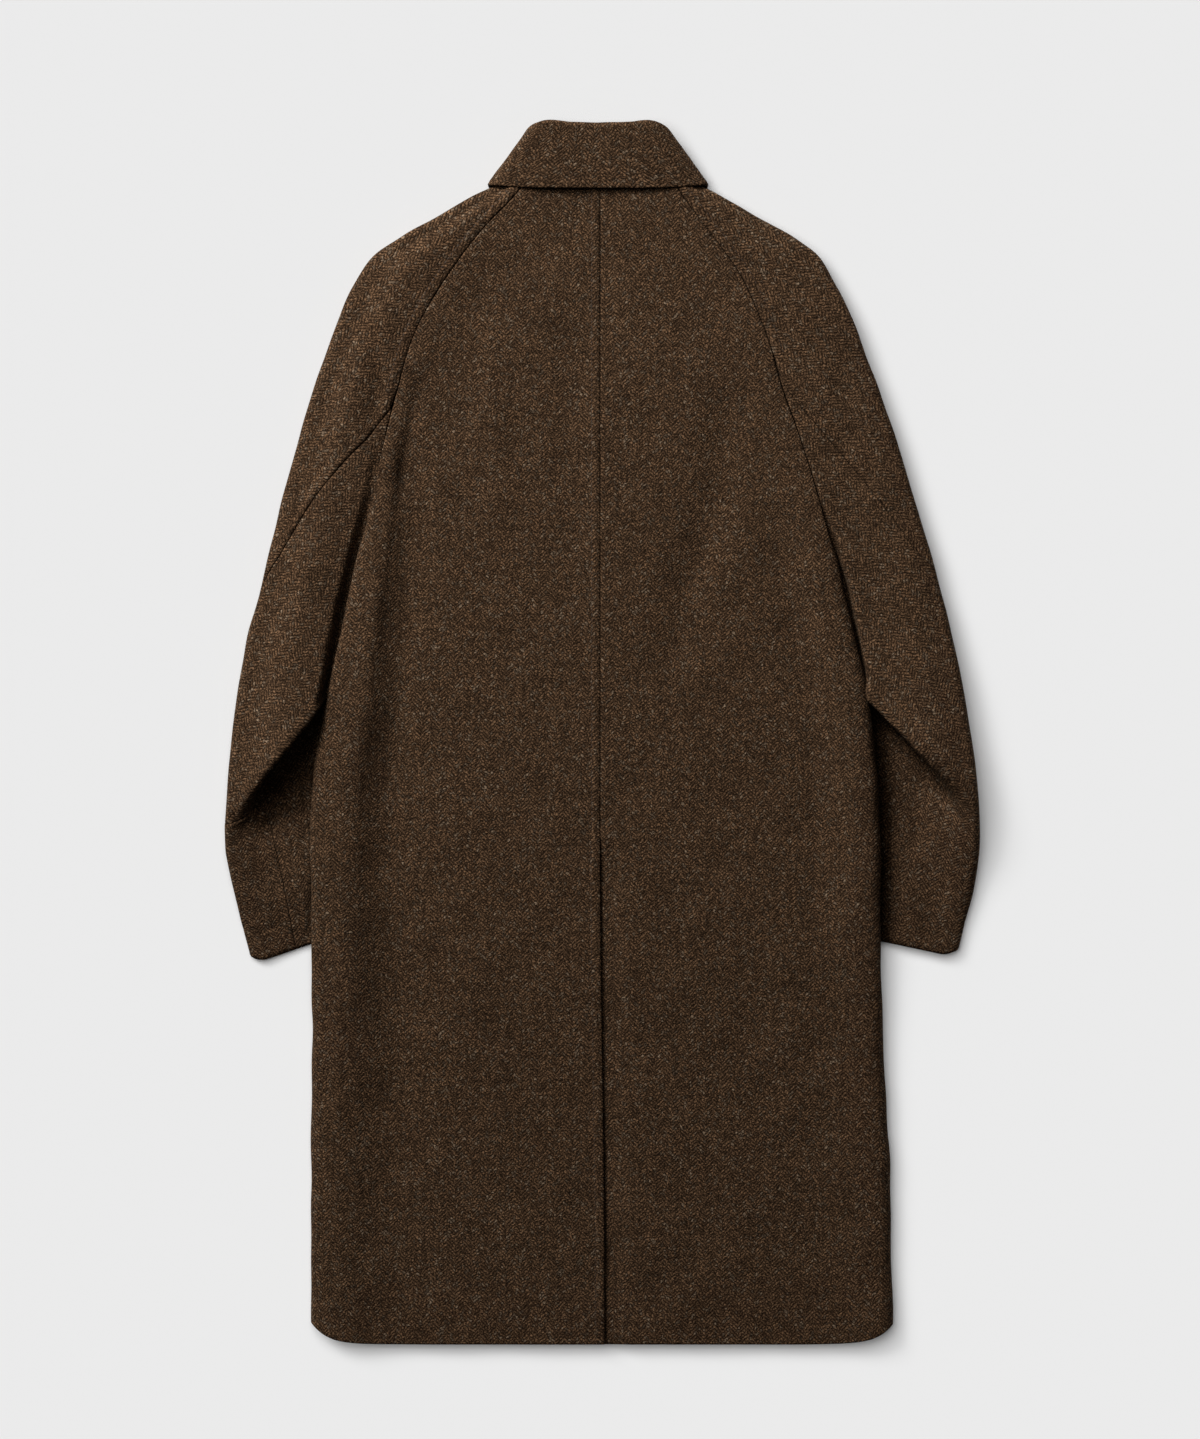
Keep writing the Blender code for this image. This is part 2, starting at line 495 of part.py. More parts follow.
cloth_piece("front_left", front_place("left", 0.80), 14, 30)
cloth_piece("front_right", front_place("right", 0.80), 14, 30)
cloth_piece("sleeve_left_top", sleeve_place("left", "top", 0.0), 17, 42)
cloth_piece("sleeve_left_under", sleeve_place("left", "under", 15 / 42), 16, 27)
cloth_piece("sleeve_right_top", sleeve_place("right", "top", 0.0), 17, 46)
cloth_piece("sleeve_right_under", sleeve_place("right", "under", 13 / 46), 16, 33)
cloth_piece("back_left", back_place("left", 0.70, 0.08), 16, 40)
cloth_piece("back_right", back_place("right", 0.70, 0.16), 17, 40)
cloth_piece("collar", collar_place, 32, 14)
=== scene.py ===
import json
import math
from collections import namedtuple

import bpy
import numpy as np
from mathutils import Matrix, Vector

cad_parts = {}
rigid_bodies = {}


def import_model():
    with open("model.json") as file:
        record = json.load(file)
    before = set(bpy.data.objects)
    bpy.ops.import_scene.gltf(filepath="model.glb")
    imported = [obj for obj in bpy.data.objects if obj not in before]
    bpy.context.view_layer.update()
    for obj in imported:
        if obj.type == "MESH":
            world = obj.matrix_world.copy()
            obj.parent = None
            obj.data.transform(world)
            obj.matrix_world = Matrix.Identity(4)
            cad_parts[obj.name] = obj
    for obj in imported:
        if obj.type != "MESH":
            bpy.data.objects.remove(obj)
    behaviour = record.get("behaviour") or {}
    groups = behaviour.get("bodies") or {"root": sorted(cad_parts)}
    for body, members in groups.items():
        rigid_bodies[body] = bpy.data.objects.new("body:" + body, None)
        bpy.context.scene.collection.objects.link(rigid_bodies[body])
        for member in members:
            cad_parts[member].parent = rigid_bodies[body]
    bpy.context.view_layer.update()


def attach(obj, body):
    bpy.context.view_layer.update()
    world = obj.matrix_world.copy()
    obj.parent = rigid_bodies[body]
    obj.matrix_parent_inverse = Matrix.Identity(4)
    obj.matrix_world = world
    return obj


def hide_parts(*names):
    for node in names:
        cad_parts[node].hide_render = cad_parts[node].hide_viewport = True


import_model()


# The half backs. Two long panels of brown herringbone wool, joined down the centre back with the
# seam pressed to the left and topstitched. Their sides turn under to the side seams, the raglan
# seams slant from the underarm to the neck, and below the seam the left panel laps over the right.
CLOTH = 0.0023
FLOOR = 0.00125
LIFT = 0.0033
SEAM_DIP = math.radians(12)
RAGLAN_GAP = 0.0002 + CLOTH * math.sin(SEAM_DIP)
SIGN = {"left": -1.0, "right": 1.0}

SIDE_FOLD = 0.009
SIDE_TURN = math.radians(135)
SIDE_TURN_FROM = 0.85
ROLL_SHOULDER = {"left": 0.0035, "right": 0.0010}
SHOULDER_REACH = (0.004, 0.028)
ROLL_UNCREASED = (0.6, 1.0)
HEM_RISE = 0.0045
HEM_CORNER = 0.0155
HEM_ROUND_FROM = 0.150
HEM_ROUND = 0.112
HEM_FADE = 0.120

CENTRE_BACK = -0.002
VENT_TOP = -0.095
VENT_UNDERLAP = 0.045
VENT_DRIFT = 0.004
VENT_DRIFT_LENGTH = 0.4
VENT_OPENS = 0.02
VENT_STITCH_OUT = 0.0008
UNDERLAP_GROWS = (0.012, 0.040)
LAP_SINKS = (-0.006, 0.018)
LAP_WIDTH = (0.006, 0.030)
CENTRE_GAP = 0.0001
CENTRE_SEAM_BAND = 0.0075
CENTRE_SEAM_RISE = 0.0009
CENTRE_SEAM_DIP = 0.0003
STITCH_FROM_HEM = 0.012
CENTRE_STITCH_TOP = 0.492
BACK_UNEVEN = 0.00035

# Sections of the body from hem to neck. left, right: distance of the side fold or raglan seam.
# ridge: height just inside that edge. rest: height its underside turns to. turn: 1 where it
# turns under to the side seam, 0 where it is cut at the raglan seam. middle: height of the back.
Body = namedtuple(
    "Body", "y left right ridge_left ridge_right rest_left rest_right turn_left turn_right middle"
)
BODY = (
    Body(-0.5510, 0.2615, 0.2605, 0.0200, 0.0195, 0.0000, 0.0000, 1.0, 1.0, 0.0130),
    Body(-0.4000, 0.2615, 0.2580, 0.0205, 0.0200, 0.0000, 0.0000, 1.0, 1.0, 0.0133),
    Body(-0.2800, 0.2605, 0.2515, 0.0225, 0.0215, 0.0000, 0.0000, 1.0, 1.0, 0.0146),
    Body(-0.2050, 0.2610, 0.2495, 0.0268, 0.0256, 0.0115, 0.0115, 1.0, 1.0, 0.0168),
    Body(-0.1060, 0.2615, 0.2490, 0.0285, 0.0288, 0.0115, 0.0115, 1.0, 1.0, 0.0174),
    Body(-0.0430, 0.2597, 0.2460, 0.0288, 0.0302, 0.0115, 0.0115, 1.0, 1.0, 0.0174),
    Body(0.0270, 0.2470, 0.2390, 0.0288, 0.0300, 0.0115, 0.0115, 1.0, 1.0, 0.0174),
    Body(0.1020, 0.2320, 0.2220, 0.0285, 0.0268, 0.0115, 0.0115, 1.0, 1.0, 0.0174),
    Body(0.1500, 0.2215, 0.2110, 0.0276, 0.0246, 0.0115, 0.0115, 1.0, 0.7, 0.0174),
    Body(0.1850, 0.2120, 0.2013, 0.0266, 0.0224, 0.0115, 0.0080, 0.8, 0.1, 0.0174),
    Body(0.2150, 0.2050, 0.1930, 0.0252, 0.0214, 0.0115, 0.0020, 0.4, 0.0, 0.0174),
    Body(0.2400, 0.2008, 0.1855, 0.0240, 0.0203, 0.0060, 0.0000, 0.1, 0.0, 0.0174),
    Body(0.2680, 0.1945, 0.1765, 0.0210, 0.0200, 0.0000, 0.0000, 0.0, 0.0, 0.0175),
    Body(0.3100, 0.1838, 0.1615, 0.0200, 0.0200, 0.0000, 0.0000, 0.0, 0.0, 0.0176),
    Body(0.3500, 0.1720, 0.1500, 0.0200, 0.0200, 0.0000, 0.0000, 0.0, 0.0, 0.0177),
    Body(0.3800, 0.1580, 0.1386, 0.0200, 0.0200, 0.0000, 0.0000, 0.0, 0.0, 0.0178),
    Body(0.4107, 0.1390, 0.1240, 0.0200, 0.0200, 0.0000, 0.0000, 0.0, 0.0, 0.0179),
    Body(0.4365, 0.1200, 0.1060, 0.0200, 0.0200, 0.0000, 0.0000, 0.0, 0.0, 0.0180),
    Body(0.4570, 0.1030, 0.0905, 0.0200, 0.0200, 0.0000, 0.0000, 0.0, 0.0, 0.0182),
    Body(0.4800, 0.0810, 0.0735, 0.0200, 0.0200, 0.0000, 0.0000, 0.0, 0.0, 0.0184),
    Body(0.5000, 0.0640, 0.0600, 0.0200, 0.0200, 0.0000, 0.0000, 0.0, 0.0, 0.0186),
)

# How far in from the side folds the back slopes down from the roll of cloth there. half: half the
# breadth of that slope.
Roll = namedtuple("Roll", "y left right half")
ROLL = (
    Roll(-0.551, 0.046, 0.036, 0.038),
    Roll(-0.420, 0.048, 0.036, 0.036),
    Roll(-0.250, 0.052, 0.036, 0.030),
    Roll(-0.100, 0.052, 0.036, 0.023),
    Roll(0.030, 0.048, 0.036, 0.021),
    Roll(0.110, 0.038, 0.034, 0.020),
    Roll(0.200, 0.028, 0.030, 0.020),
    Roll(0.260, 0.024, 0.026, 0.020),
    Roll(0.500, 0.024, 0.026, 0.020),
)

# Creases of the back along their lines. depth: above 0 a trough, below 0 a ridge.
Crease = namedtuple("Crease", "line half_width depth")
CREASE_STEPS = 60
CREASE_FADE = 0.25
CREASE_WAVER = 0.05
CREASE_WAVES = 17.0
BACK_CREASES = (
    Crease(((0.118, 0.345), (0.106, 0.227), (0.080, 0.137), (0.056, 0.020)), 0.019, 0.0040),
    Crease(((-0.024, 0.380), (-0.030, 0.254), (-0.027, 0.140)), 0.017, 0.0026),
    Crease(((-0.097, 0.390), (-0.101, 0.299), (-0.092, 0.140)), 0.015, -0.0024),
    Crease(((-0.172, 0.290), (-0.181, 0.155), (-0.188, 0.029), (-0.194, -0.106)), 0.020, 0.0030),
    Crease(((-0.188, 0.029), (-0.194, -0.106), (-0.190, -0.286), (-0.184, -0.640)), 0.028, 0.0032),
    Crease(((-0.174, 0.335), (-0.180, 0.272), (-0.182, 0.190)), 0.016, 0.0042),
    Crease(((-0.002, 0.420), (-0.002, 0.200), (-0.002, -0.080)), 0.022, -0.0008),
    Crease(((-0.040, -0.068), (-0.020, -0.060), (-0.003, -0.055)), 0.004, 0.0010),
    Crease(((0.172, -0.094), (0.182, -0.084), (0.192, -0.074)), 0.004, 0.0007),
    Crease(((0.150, 0.240), (0.165, 0.120), (0.180, 0.000)), 0.016, 0.0010),
    Crease(((0.120, 0.020), (0.135, -0.160), (0.140, -0.330)), 0.024, 0.0009),
    Crease(((-0.120, 0.020), (-0.110, -0.180), (-0.115, -0.360)), 0.026, -0.0010),
)


def ease(value, start, end):
    """0 at start, 1 at end, smooth between."""
    share = np.clip((value - start) / (end - start), 0.0, 1.0)
    return share * share * (3.0 - 2.0 * share)


def mix(first, second, share):
    return first + (second - first) * share


def section(rows, share):
    """Columns of a table at shares of the way along it, on smooth curves through its rows."""
    table = np.array(rows)
    steps = np.diff(table, axis=0)
    before, after = steps[:-1], steps[1:]
    rising = before * after > 0.0
    slopes = np.vstack([
        steps[:1],
        np.where(rising, 2.0 * before * after / np.where(rising, before + after, 1.0), 0.0),
        steps[-1:],
    ])
    place = np.clip(share, 0.0, 1.0) * (len(rows) - 1)
    k = np.minimum(place.astype(int), len(rows) - 2)
    t = (place - k)[..., None]
    made = table[k] * (1 + 2 * t) * (1 - t) ** 2 + slopes[k] * t * (1 - t) ** 2
    made = made + table[k + 1] * t * t * (3 - 2 * t) + slopes[k + 1] * t * t * (t - 1)
    return type(rows[0])(*np.moveaxis(made, -1, 0))


def share_at(rows, y):
    """Share of the way along a table of rising y at which it has this y."""
    shares = np.linspace(0.0, 1.0, 4001)
    return np.interp(y, section(rows, shares).y, shares)


def section_at(rows, y):
    return section(rows, share_at(rows, y))


def hem_line(distance, y):
    """y with the corners of the hem rounded up."""
    corner = np.maximum(np.abs(distance) - HEM_ROUND_FROM, 0.0) / HEM_ROUND
    rise = HEM_RISE * corner**3 + HEM_CORNER * corner**9
    return y + rise * (1.0 - ease(y - BODY[0].y, 0.0, HEM_FADE))


def crease_relief(creases, x, y):
    """Height that the creases give the cloth at points in plan."""
    relief = np.zeros(np.broadcast(x, y).shape)
    for crease in creases:
        knots = np.array(crease.line)
        fine = np.linspace(0.0, len(knots) - 1.0, CREASE_STEPS + 1)
        line = np.stack([np.interp(fine, range(len(knots)), knots[:, axis]) for axis in (0, 1)], axis=1)
        nearest = np.full(relief.shape, np.inf)
        along = np.zeros(relief.shape)
        for step, spot in enumerate(line):
            away = np.hypot(x - spot[0], y - spot[1])
            closer = away < nearest
            nearest = np.where(closer, away, nearest)
            along = np.where(closer, step / CREASE_STEPS, along)
        ends = ease(along, 0.0, CREASE_FADE) * ease(1.0 - along, 0.0, CREASE_FADE)
        ends = ends + CREASE_WAVER * np.sin(along * CREASE_WAVES) * ends
        relief -= crease.depth * np.exp(-((nearest / crease.half_width) ** 2)) * ends
    return relief


WAVES = 22


def unevenness(x, y, longest, shortest, seed):
    """Soft waves of cloth that never lies quite flat, about 1 high."""
    draw = np.random.default_rng(seed)
    total = np.zeros(np.broadcast(x, y).shape)
    for _ in range(WAVES):
        wave = 2.0 * math.pi / draw.uniform(shortest, longest)
        turn = draw.uniform(0.0, math.pi)
        start = draw.uniform(0.0, 2.0 * math.pi)
        total += np.sin((x * math.cos(turn) + y * math.sin(turn)) * wave + start)
    return total / math.sqrt(WAVES / 2)


def together(*parts):
    """x, y and height, or two lines of grain, as one grid of points."""
    return np.stack(np.broadcast_arrays(*parts), axis=-1)


def back_place(side):
    """Points of a half back: u from the centre back to the side seam, v from hem to neck."""

    def place(u, v):
        row = section(BODY, v)
        turn = mix(SEAM_DIP, SIDE_TURN, getattr(row, f"turn_{side}"))
        outer = getattr(row, side)
        top_end = outer - RAGLAN_GAP / 2 - SIDE_FOLD * np.sin(np.minimum(turn, math.pi / 2))
        below_vent = VENT_TOP - row.y
        start = SIGN[side] * CENTRE_BACK + CENTRE_GAP
        if side == "left":
            start = start - VENT_DRIFT * ease(below_vent, 0.0, VENT_DRIFT_LENGTH)
        else:
            start = start - VENT_UNDERLAP * ease(below_vent, *UNDERLAP_GROWS)
        distance = mix(start, top_end, np.minimum(u / SIDE_TURN_FROM, 1.0))
        inside = outer - distance
        slope = section_at(ROLL, row.y)
        roll_end = getattr(slope, side)
        roll = 1.0 - ease(inside, roll_end - slope.half, roll_end + slope.half)
        height = mix(row.middle, getattr(row, f"ridge_{side}"), roll)
        shoulder = ROLL_SHOULDER[side] * getattr(row, f"turn_{side}")
        height = height - shoulder * (1.0 - ease(inside, *SHOULDER_REACH))
        x = SIGN[side] * distance
        height = height + crease_relief(BACK_CREASES, x, row.y) * (1.0 - ease(roll, *ROLL_UNCREASED))
        if side == "right":
            height = height - LIFT * ease(below_vent, *LAP_SINKS) * (1.0 - ease(distance, *LAP_WIDTH))
        angle = turn * np.clip((u - SIDE_TURN_FROM) / (1.0 - SIDE_TURN_FROM), 0.0, 1.0)
        drop = (height - FLOOR - getattr(row, f"rest_{side}")) / 2
        distance = distance + SIDE_FOLD * np.sin(angle)
        height = height - drop * (1.0 - np.cos(angle))
        y = hem_line(distance, row.y)
        return together(SIGN[side] * distance, y, height)

    return place


EDGE_STEPS = np.array([0.0, 0.4, 1.0, 1.8, 2.8, 4.0, 5.4, 6.6, 7.6, 8.6, 10.0]) / 1000.0
EDGE_ROOM = 2.6
LAY_STEPS = 420


def run_along(points, axis=0):
    """Length along each line of points, from its first point to every other."""
    steps = np.linalg.norm(np.diff(points, axis=axis), axis=-1)
    start = np.zeros_like(np.take(steps, [0], axis=axis))
    return np.concatenate([start, np.cumsum(steps, axis=axis)], axis=axis)


def lay(place, rows, columns):
    """Grid of points of a sheet: rows at given shares, columns by length and close at both edges."""
    dense = place(np.linspace(0.0, 1.0, LAY_STEPS)[None, :], rows[:, None])
    run = run_along(dense, axis=1)
    total = run[:, -1:]
    edge = EDGE_STEPS * np.minimum(total / (EDGE_ROOM * EDGE_STEPS[-1]), 1.0)
    between = np.linspace(0.0, 1.0, columns - 2 * len(EDGE_STEPS) + 2)[1:-1]
    middle = edge[:, -1:] + (total - 2.0 * edge[:, -1:]) * between
    from_start = np.concatenate([edge, middle, total - edge[:, ::-1]], axis=1)
    points = np.empty(from_start.shape + (3,))
    for k in range(len(rows)):
        for axis in range(3):
            points[k, :, axis] = np.interp(from_start[k], run[k], dense[k, :, axis])
    return points, from_start, total - from_start


def facing(points):
    """Unit directions across the cloth at a grid of points."""
    across = np.gradient(points, axis=1)
    along = np.gradient(points, axis=0)
    out = np.cross(across, along)
    return out / np.maximum(np.linalg.norm(out, axis=2, keepdims=True), 1e-12)


def bump(distance, centre, half_width):
    return np.exp(-(((distance - centre) / half_width) ** 2))


SEAM_RAMP = (-0.0005, 0.0040)
SEAM_END = (-0.0015, 0.0020)
SEAM_DENT = 0.0006
SEAM_DENT_HALF = 0.0011


def seam_band(distance, width, rise):
    """A seam allowance under the cloth, with the topstitch that holds it down."""
    band = rise * ease(distance, *SEAM_RAMP)
    band = band * (1.0 - ease(distance, width + SEAM_END[0], width + SEAM_END[1]))
    return band - SEAM_DENT * bump(distance, width, SEAM_DENT_HALF)


ROUND_EDGE = 0.0013
EDGE_WALL = 0.3


def cloth(name, points, grain, material):
    """A sheet of cloth through a grid of points, with its wall rounded off at the edges."""
    rows, columns = points.shape[:2]
    bpy.ops.object.select_all(action="DESELECT")
    bpy.ops.mesh.primitive_grid_add(x_subdivisions=columns - 1, y_subdivisions=rows - 1, size=1.0)
    piece = bpy.context.object
    piece.name = name
    mesh = piece.data
    mesh.name = name
    flat = np.empty(len(mesh.vertices) * 3)
    mesh.vertices.foreach_get("co", flat)
    flat = flat.reshape(-1, 3) + 0.5
    column = np.rint(flat[:, 0] * (columns - 1)).astype(int)
    row = np.rint(flat[:, 1] * (rows - 1)).astype(int)
    mesh.vertices.foreach_set("co", points[row, column].ravel())
    corner = np.empty(len(mesh.loops), dtype=np.int32)
    mesh.loops.foreach_get("vertex_index", corner)
    layer = mesh.uv_layers.active
    layer.name = "grain"
    layer.data.foreach_set("uv", grain[row[corner], column[corner]].ravel())
    across = run_along(points, axis=1)
    along = run_along(points, axis=0)
    inside = np.minimum(np.minimum(across, across[:, -1:] - across), np.minimum(along, along[-1:] - along))
    shy = 1.0 - np.clip(inside / ROUND_EDGE, 0.0, 1.0)
    wall = np.maximum(np.sqrt(1.0 - shy * shy), EDGE_WALL)[row, column]
    group = piece.vertex_groups.new(name="wall")
    group.add(range(len(wall)), 1.0, "REPLACE")
    for k in np.flatnonzero(wall < 1.0):
        group.add([int(k)], float(wall[k]), "REPLACE")
    thick = piece.modifiers.new("wall", "SOLIDIFY")
    thick.thickness = CLOTH
    thick.offset = 0.0
    thick.vertex_group = "wall"
    bpy.ops.object.modifier_apply(modifier=thick.name)
    piece.vertex_groups.clear()
    bpy.ops.object.shade_smooth()
    mesh.materials.append(material)
    return piece


STRIPE = 0.0075
RIB = 0.0036
RIB_SHARPNESS = 1.2
FLOAT_LENGTH = 0.0038
FLOAT_STAGGER = 0.37
WANDER_ACROSS = 0.0035
WANDER_ALONG = 0.005
CLEAR_OF_ZERO = 5.0
THINNEST_FIBRE = 0.05
FIBRE_RELIEF = 0.6
FLECK_FROM = 0.86
FLECK_STRENGTH = 0.7
DARK_YARN = (0.0100, 0.0052, 0.0026)
LIGHT_YARN = (0.222, 0.132, 0.0735)
RED_YARN = (0.207, 0.110, 0.0545)
PALE_FLECK = (0.290, 0.212, 0.142)


def shader_of(material, settings):
    """The material's shader, with its inputs set by name."""
    material.use_nodes = True
    shader = material.node_tree.nodes["Principled BSDF"]
    for name, value in settings.items():
        shader.inputs[name].default_value = value
    return shader


def wool(name, painted_brightness):
    """Herringbone wool: stripes of twill that lean left and right in turn, spun from mixed browns. All its
    colours are scaled by a brightness factor, which makes lighter or darker copies of the same wool: painted
    light and shade.
    """
    material = bpy.data.materials.new(name)
    shader = shader_of(material, {
        "Roughness": 0.92,
        "Specular IOR Level": 0.05,
        "Sheen Weight": 0.05,
        "Sheen Roughness": 0.4,
        "Sheen Tint": (0.60, 0.44, 0.28, 1.0),
    })
    tree = material.node_tree

    def join(value, socket):
        if isinstance(value, bpy.types.NodeSocket):
            tree.links.new(value, socket)
        else:
            socket.default_value = value

    def reckon(operation, first, second=0.0):
        node = tree.nodes.new("ShaderNodeMath")
        node.operation = operation
        join(first, node.inputs[0])
        join(second, node.inputs[1])
        return node.outputs[0]

    def swing(value, size, middle):
        """A value from 0 to 1 turned into one that swings about a middle."""
        return reckon("ADD", reckon("MULTIPLY", reckon("SUBTRACT", value, 0.5), size), middle)

    def blend(share, first, second):
        node = tree.nodes.new("ShaderNodeMix")
        node.data_type = "RGBA"
        join(share, node.inputs[0])
        join(first, node.inputs[6])
        join(second, node.inputs[7])
        return node.outputs[2]

    def cloud(scale_u, scale_v, detail=2.0):
        """Cloudy shades over the cloth, longer along the grain or across it."""
        stretch = tree.nodes.new("ShaderNodeMapping")
        stretch.inputs["Scale"].default_value = (scale_u, scale_v, 1.0)
        tree.links.new(grain.outputs["UV"], stretch.inputs["Vector"])
        node = tree.nodes.new("ShaderNodeTexNoise")
        node.inputs["Scale"].default_value = 1.0
        node.inputs["Detail"].default_value = detail
        tree.links.new(stretch.outputs["Vector"], node.inputs["Vector"])
        return node.outputs["Fac"]

    grain = tree.nodes.new("ShaderNodeUVMap")
    grain.uv_map = "grain"
    split = tree.nodes.new("ShaderNodeSeparateXYZ")
    tree.links.new(grain.outputs["UV"], split.inputs[0])
    u = reckon("ADD", split.outputs["X"], swing(cloud(320.0, 320.0), WANDER_ACROSS, CLEAR_OF_ZERO))
    v = reckon("ADD", split.outputs["Y"], swing(cloud(380.0, 380.0), WANDER_ALONG, CLEAR_OF_ZERO))

    stripe = reckon("FLOOR", reckon("DIVIDE", u, STRIPE))
    zigzag = reckon("PINGPONG", u, STRIPE)
    odd = reckon("PINGPONG", stripe, 1.0)
    climb = reckon("ADD", reckon("DIVIDE", reckon("ADD", v, zigzag), RIB), reckon("MULTIPLY", odd, 0.5))
    rib = reckon("FLOOR", climb)
    run = reckon("DIVIDE", reckon("SUBTRACT", v, zigzag), FLOAT_LENGTH)
    run = reckon("ADD", run, reckon("MULTIPLY", rib, FLOAT_STAGGER))
    cell = tree.nodes.new("ShaderNodeCombineXYZ")
    join(rib, cell.inputs[0])
    join(reckon("FLOOR", run), cell.inputs[1])
    join(stripe, cell.inputs[2])
    lot = tree.nodes.new("ShaderNodeTexWhiteNoise")
    tree.links.new(cell.outputs[0], lot.inputs["Vector"])
    lots = tree.nodes.new("ShaderNodeSeparateColor")
    tree.links.new(lot.outputs["Color"], lots.inputs[0])

    across_rib = reckon("SINE", reckon("MULTIPLY", reckon("FRACT", climb), math.pi))
    along_yarn = reckon("SINE", reckon("MULTIPLY", reckon("FRACT", run), math.pi))
    ridge = reckon("POWER", across_rib, RIB_SHARPNESS)
    dash = reckon("MULTIPLY", ridge, swing(along_yarn, size=0.6, middle=0.7))
    fibre = cloud(760.0, 760.0)
    tone = reckon("MULTIPLY", dash, swing(lots.outputs[0], size=0.5, middle=0.5))
    tone = reckon("MULTIPLY", tone, reckon("MAXIMUM", swing(fibre, size=6.0, middle=1.0), THINNEST_FIBRE))
    streaks = reckon("ADD", cloud(420.0, 14.0), cloud(16.0, 380.0))
    tone = reckon("MULTIPLY", tone, swing(reckon("MULTIPLY", streaks, 0.5), size=1.3, middle=1.0))
    # The yarn colours scaled by the brightness factor: above 1 a painted lighter copy of the wool, below 1 a
    # painted darker one.
    dyes = (DARK_YARN, LIGHT_YARN, RED_YARN, PALE_FLECK)
    dark, light, red, pale = [tuple(c * painted_brightness for c in dye) + (1.0,) for dye in dyes]
    yarn = blend(cloud(70.0, 45.0, detail=3.0), light, red)
    fleck = reckon("MULTIPLY", reckon("GREATER_THAN", lots.outputs[1], FLECK_FROM), FLECK_STRENGTH)
    yarn = blend(fleck, yarn, pale)
    tree.links.new(blend(tone, dark, yarn), shader.inputs["Base Color"])
    relief = tree.nodes.new("ShaderNodeBump")
    relief.inputs["Strength"].default_value = 0.6
    relief.inputs["Distance"].default_value = 0.0006
    join(reckon("ADD", dash, reckon("MULTIPLY", fibre, FIBRE_RELIEF)), relief.inputs["Height"])
    tree.links.new(relief.outputs["Normal"], shader.inputs["Normal"])
    return material


STITCH_PITCH = 0.0047
STITCH_LENGTH = 0.0036
THREAD = 0.00075

thread = bpy.data.materials.new("brown_thread")
shader_of(thread, {"Base Color": (0.030, 0.017, 0.010, 1.0), "Roughness": 0.6})


def stitch_line(points, out, distance, offset, rows):
    """Points and outward directions along a sheet at a set distance from its edge."""
    columns = np.arange(points.shape[1])
    line = np.empty((len(rows), 6))
    for k, row in enumerate(rows):
        order = np.argsort(distance[row])
        column = np.interp(offset, distance[row][order], columns[order])
        for axis in range(3):
            line[k, axis] = np.interp(column, columns, points[row, :, axis])
            line[k, axis + 3] = np.interp(column, columns, out[row, :, axis])
    return line


def topstitch(name, line):
    """A row of stitches along a line, each a short thread sunk in the cloth."""
    run = run_along(line[:, :3])
    bpy.ops.object.select_all(action="DESELECT")
    bpy.ops.mesh.primitive_uv_sphere_add(segments=6, ring_count=4, radius=0.5)
    pattern = bpy.context.object
    pattern.name = name
    pattern.data.materials.append(thread)
    bpy.ops.object.shade_smooth()
    stitches = []
    for centre in np.arange(STITCH_PITCH, run[-1] - STITCH_PITCH, STITCH_PITCH):
        stretch = (centre - STITCH_LENGTH / 2, centre, centre + STITCH_LENGTH / 2)
        start, middle, end = np.stack([np.interp(stretch, run, line[:, axis]) for axis in range(6)], axis=1)
        along = Vector(end[:3] - start[:3]).normalized()
        up = Vector(middle[3:])
        up = (up - along * up.dot(along)).normalized()
        turn = Matrix((up, along.cross(up) * -1.0, along)).transposed().to_4x4()
        place = Matrix.Translation(Vector(middle[:3]) + up * (CLOTH / 2))
        stitch = pattern.copy()
        stitch.data = pattern.data.copy()
        stitch.matrix_world = place @ turn @ Matrix.Diagonal((THREAD, THREAD, STITCH_LENGTH, 1.0))
        bpy.context.collection.objects.link(stitch)
        stitches.append(stitch)
    bpy.data.objects.remove(pattern)
    for stitch in stitches:
        stitch.select_set(True)
    bpy.context.view_layer.objects.active = stitches[0]
    bpy.ops.object.join()
    bpy.ops.object.transform_apply(location=True, rotation=True, scale=True)
    stitches[0].name = name
    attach(stitches[0], "root")
    return stitches[0]


body_wool = wool("body_wool", painted_brightness=1.0)
BACK_ROWS = np.concatenate([BODY[0].y + EDGE_STEPS[:5], np.linspace(BODY[0].y + 0.005, BODY[-1].y, 326)])
back_rows = share_at(BODY, BACK_ROWS)
for side in ("left", "right"):
    points, from_centre, _ = lay(back_place(side), back_rows, columns=106)
    x, y = points[..., 0], points[..., 1]
    out = facing(points) * SIGN[side]
    relief = BACK_UNEVEN * unevenness(x, y, longest=0.110, shortest=0.035, seed=3)
    vent = ease(VENT_TOP - y, 0.0, VENT_OPENS)
    if side == "left":
        relief = relief + seam_band(from_centre, CENTRE_SEAM_BAND + VENT_STITCH_OUT * vent, CENTRE_SEAM_RISE)
    else:
        relief = relief - CENTRE_SEAM_DIP * bump(from_centre, 0.0, half_width=0.0015) * (1.0 - vent)
    points = points + out * relief[..., None]
    grain = together(x[:, :1] + SIGN[side] * from_centre, y)
    piece = cloth(f"half_back_{side}", points, grain, body_wool)
    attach(piece, "root")
    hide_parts(f"back_{side}")
    if side == "left":
        above = [k for k in range(len(BACK_ROWS)) if VENT_TOP < BACK_ROWS[k] < CENTRE_STITCH_TOP]
        stitch_end = BODY[0].y + STITCH_FROM_HEM
        below = [k for k in range(len(BACK_ROWS)) if stitch_end < BACK_ROWS[k] <= VENT_TOP]
        line = stitch_line(points, out, from_centre, CENTRE_SEAM_BAND, above)
        seam_stitching = topstitch("centre_seam_stitching", line)
        line = stitch_line(points, out, from_centre, CENTRE_SEAM_BAND + VENT_STITCH_OUT, below)
        vent_stitching = topstitch("vent_stitching", line)


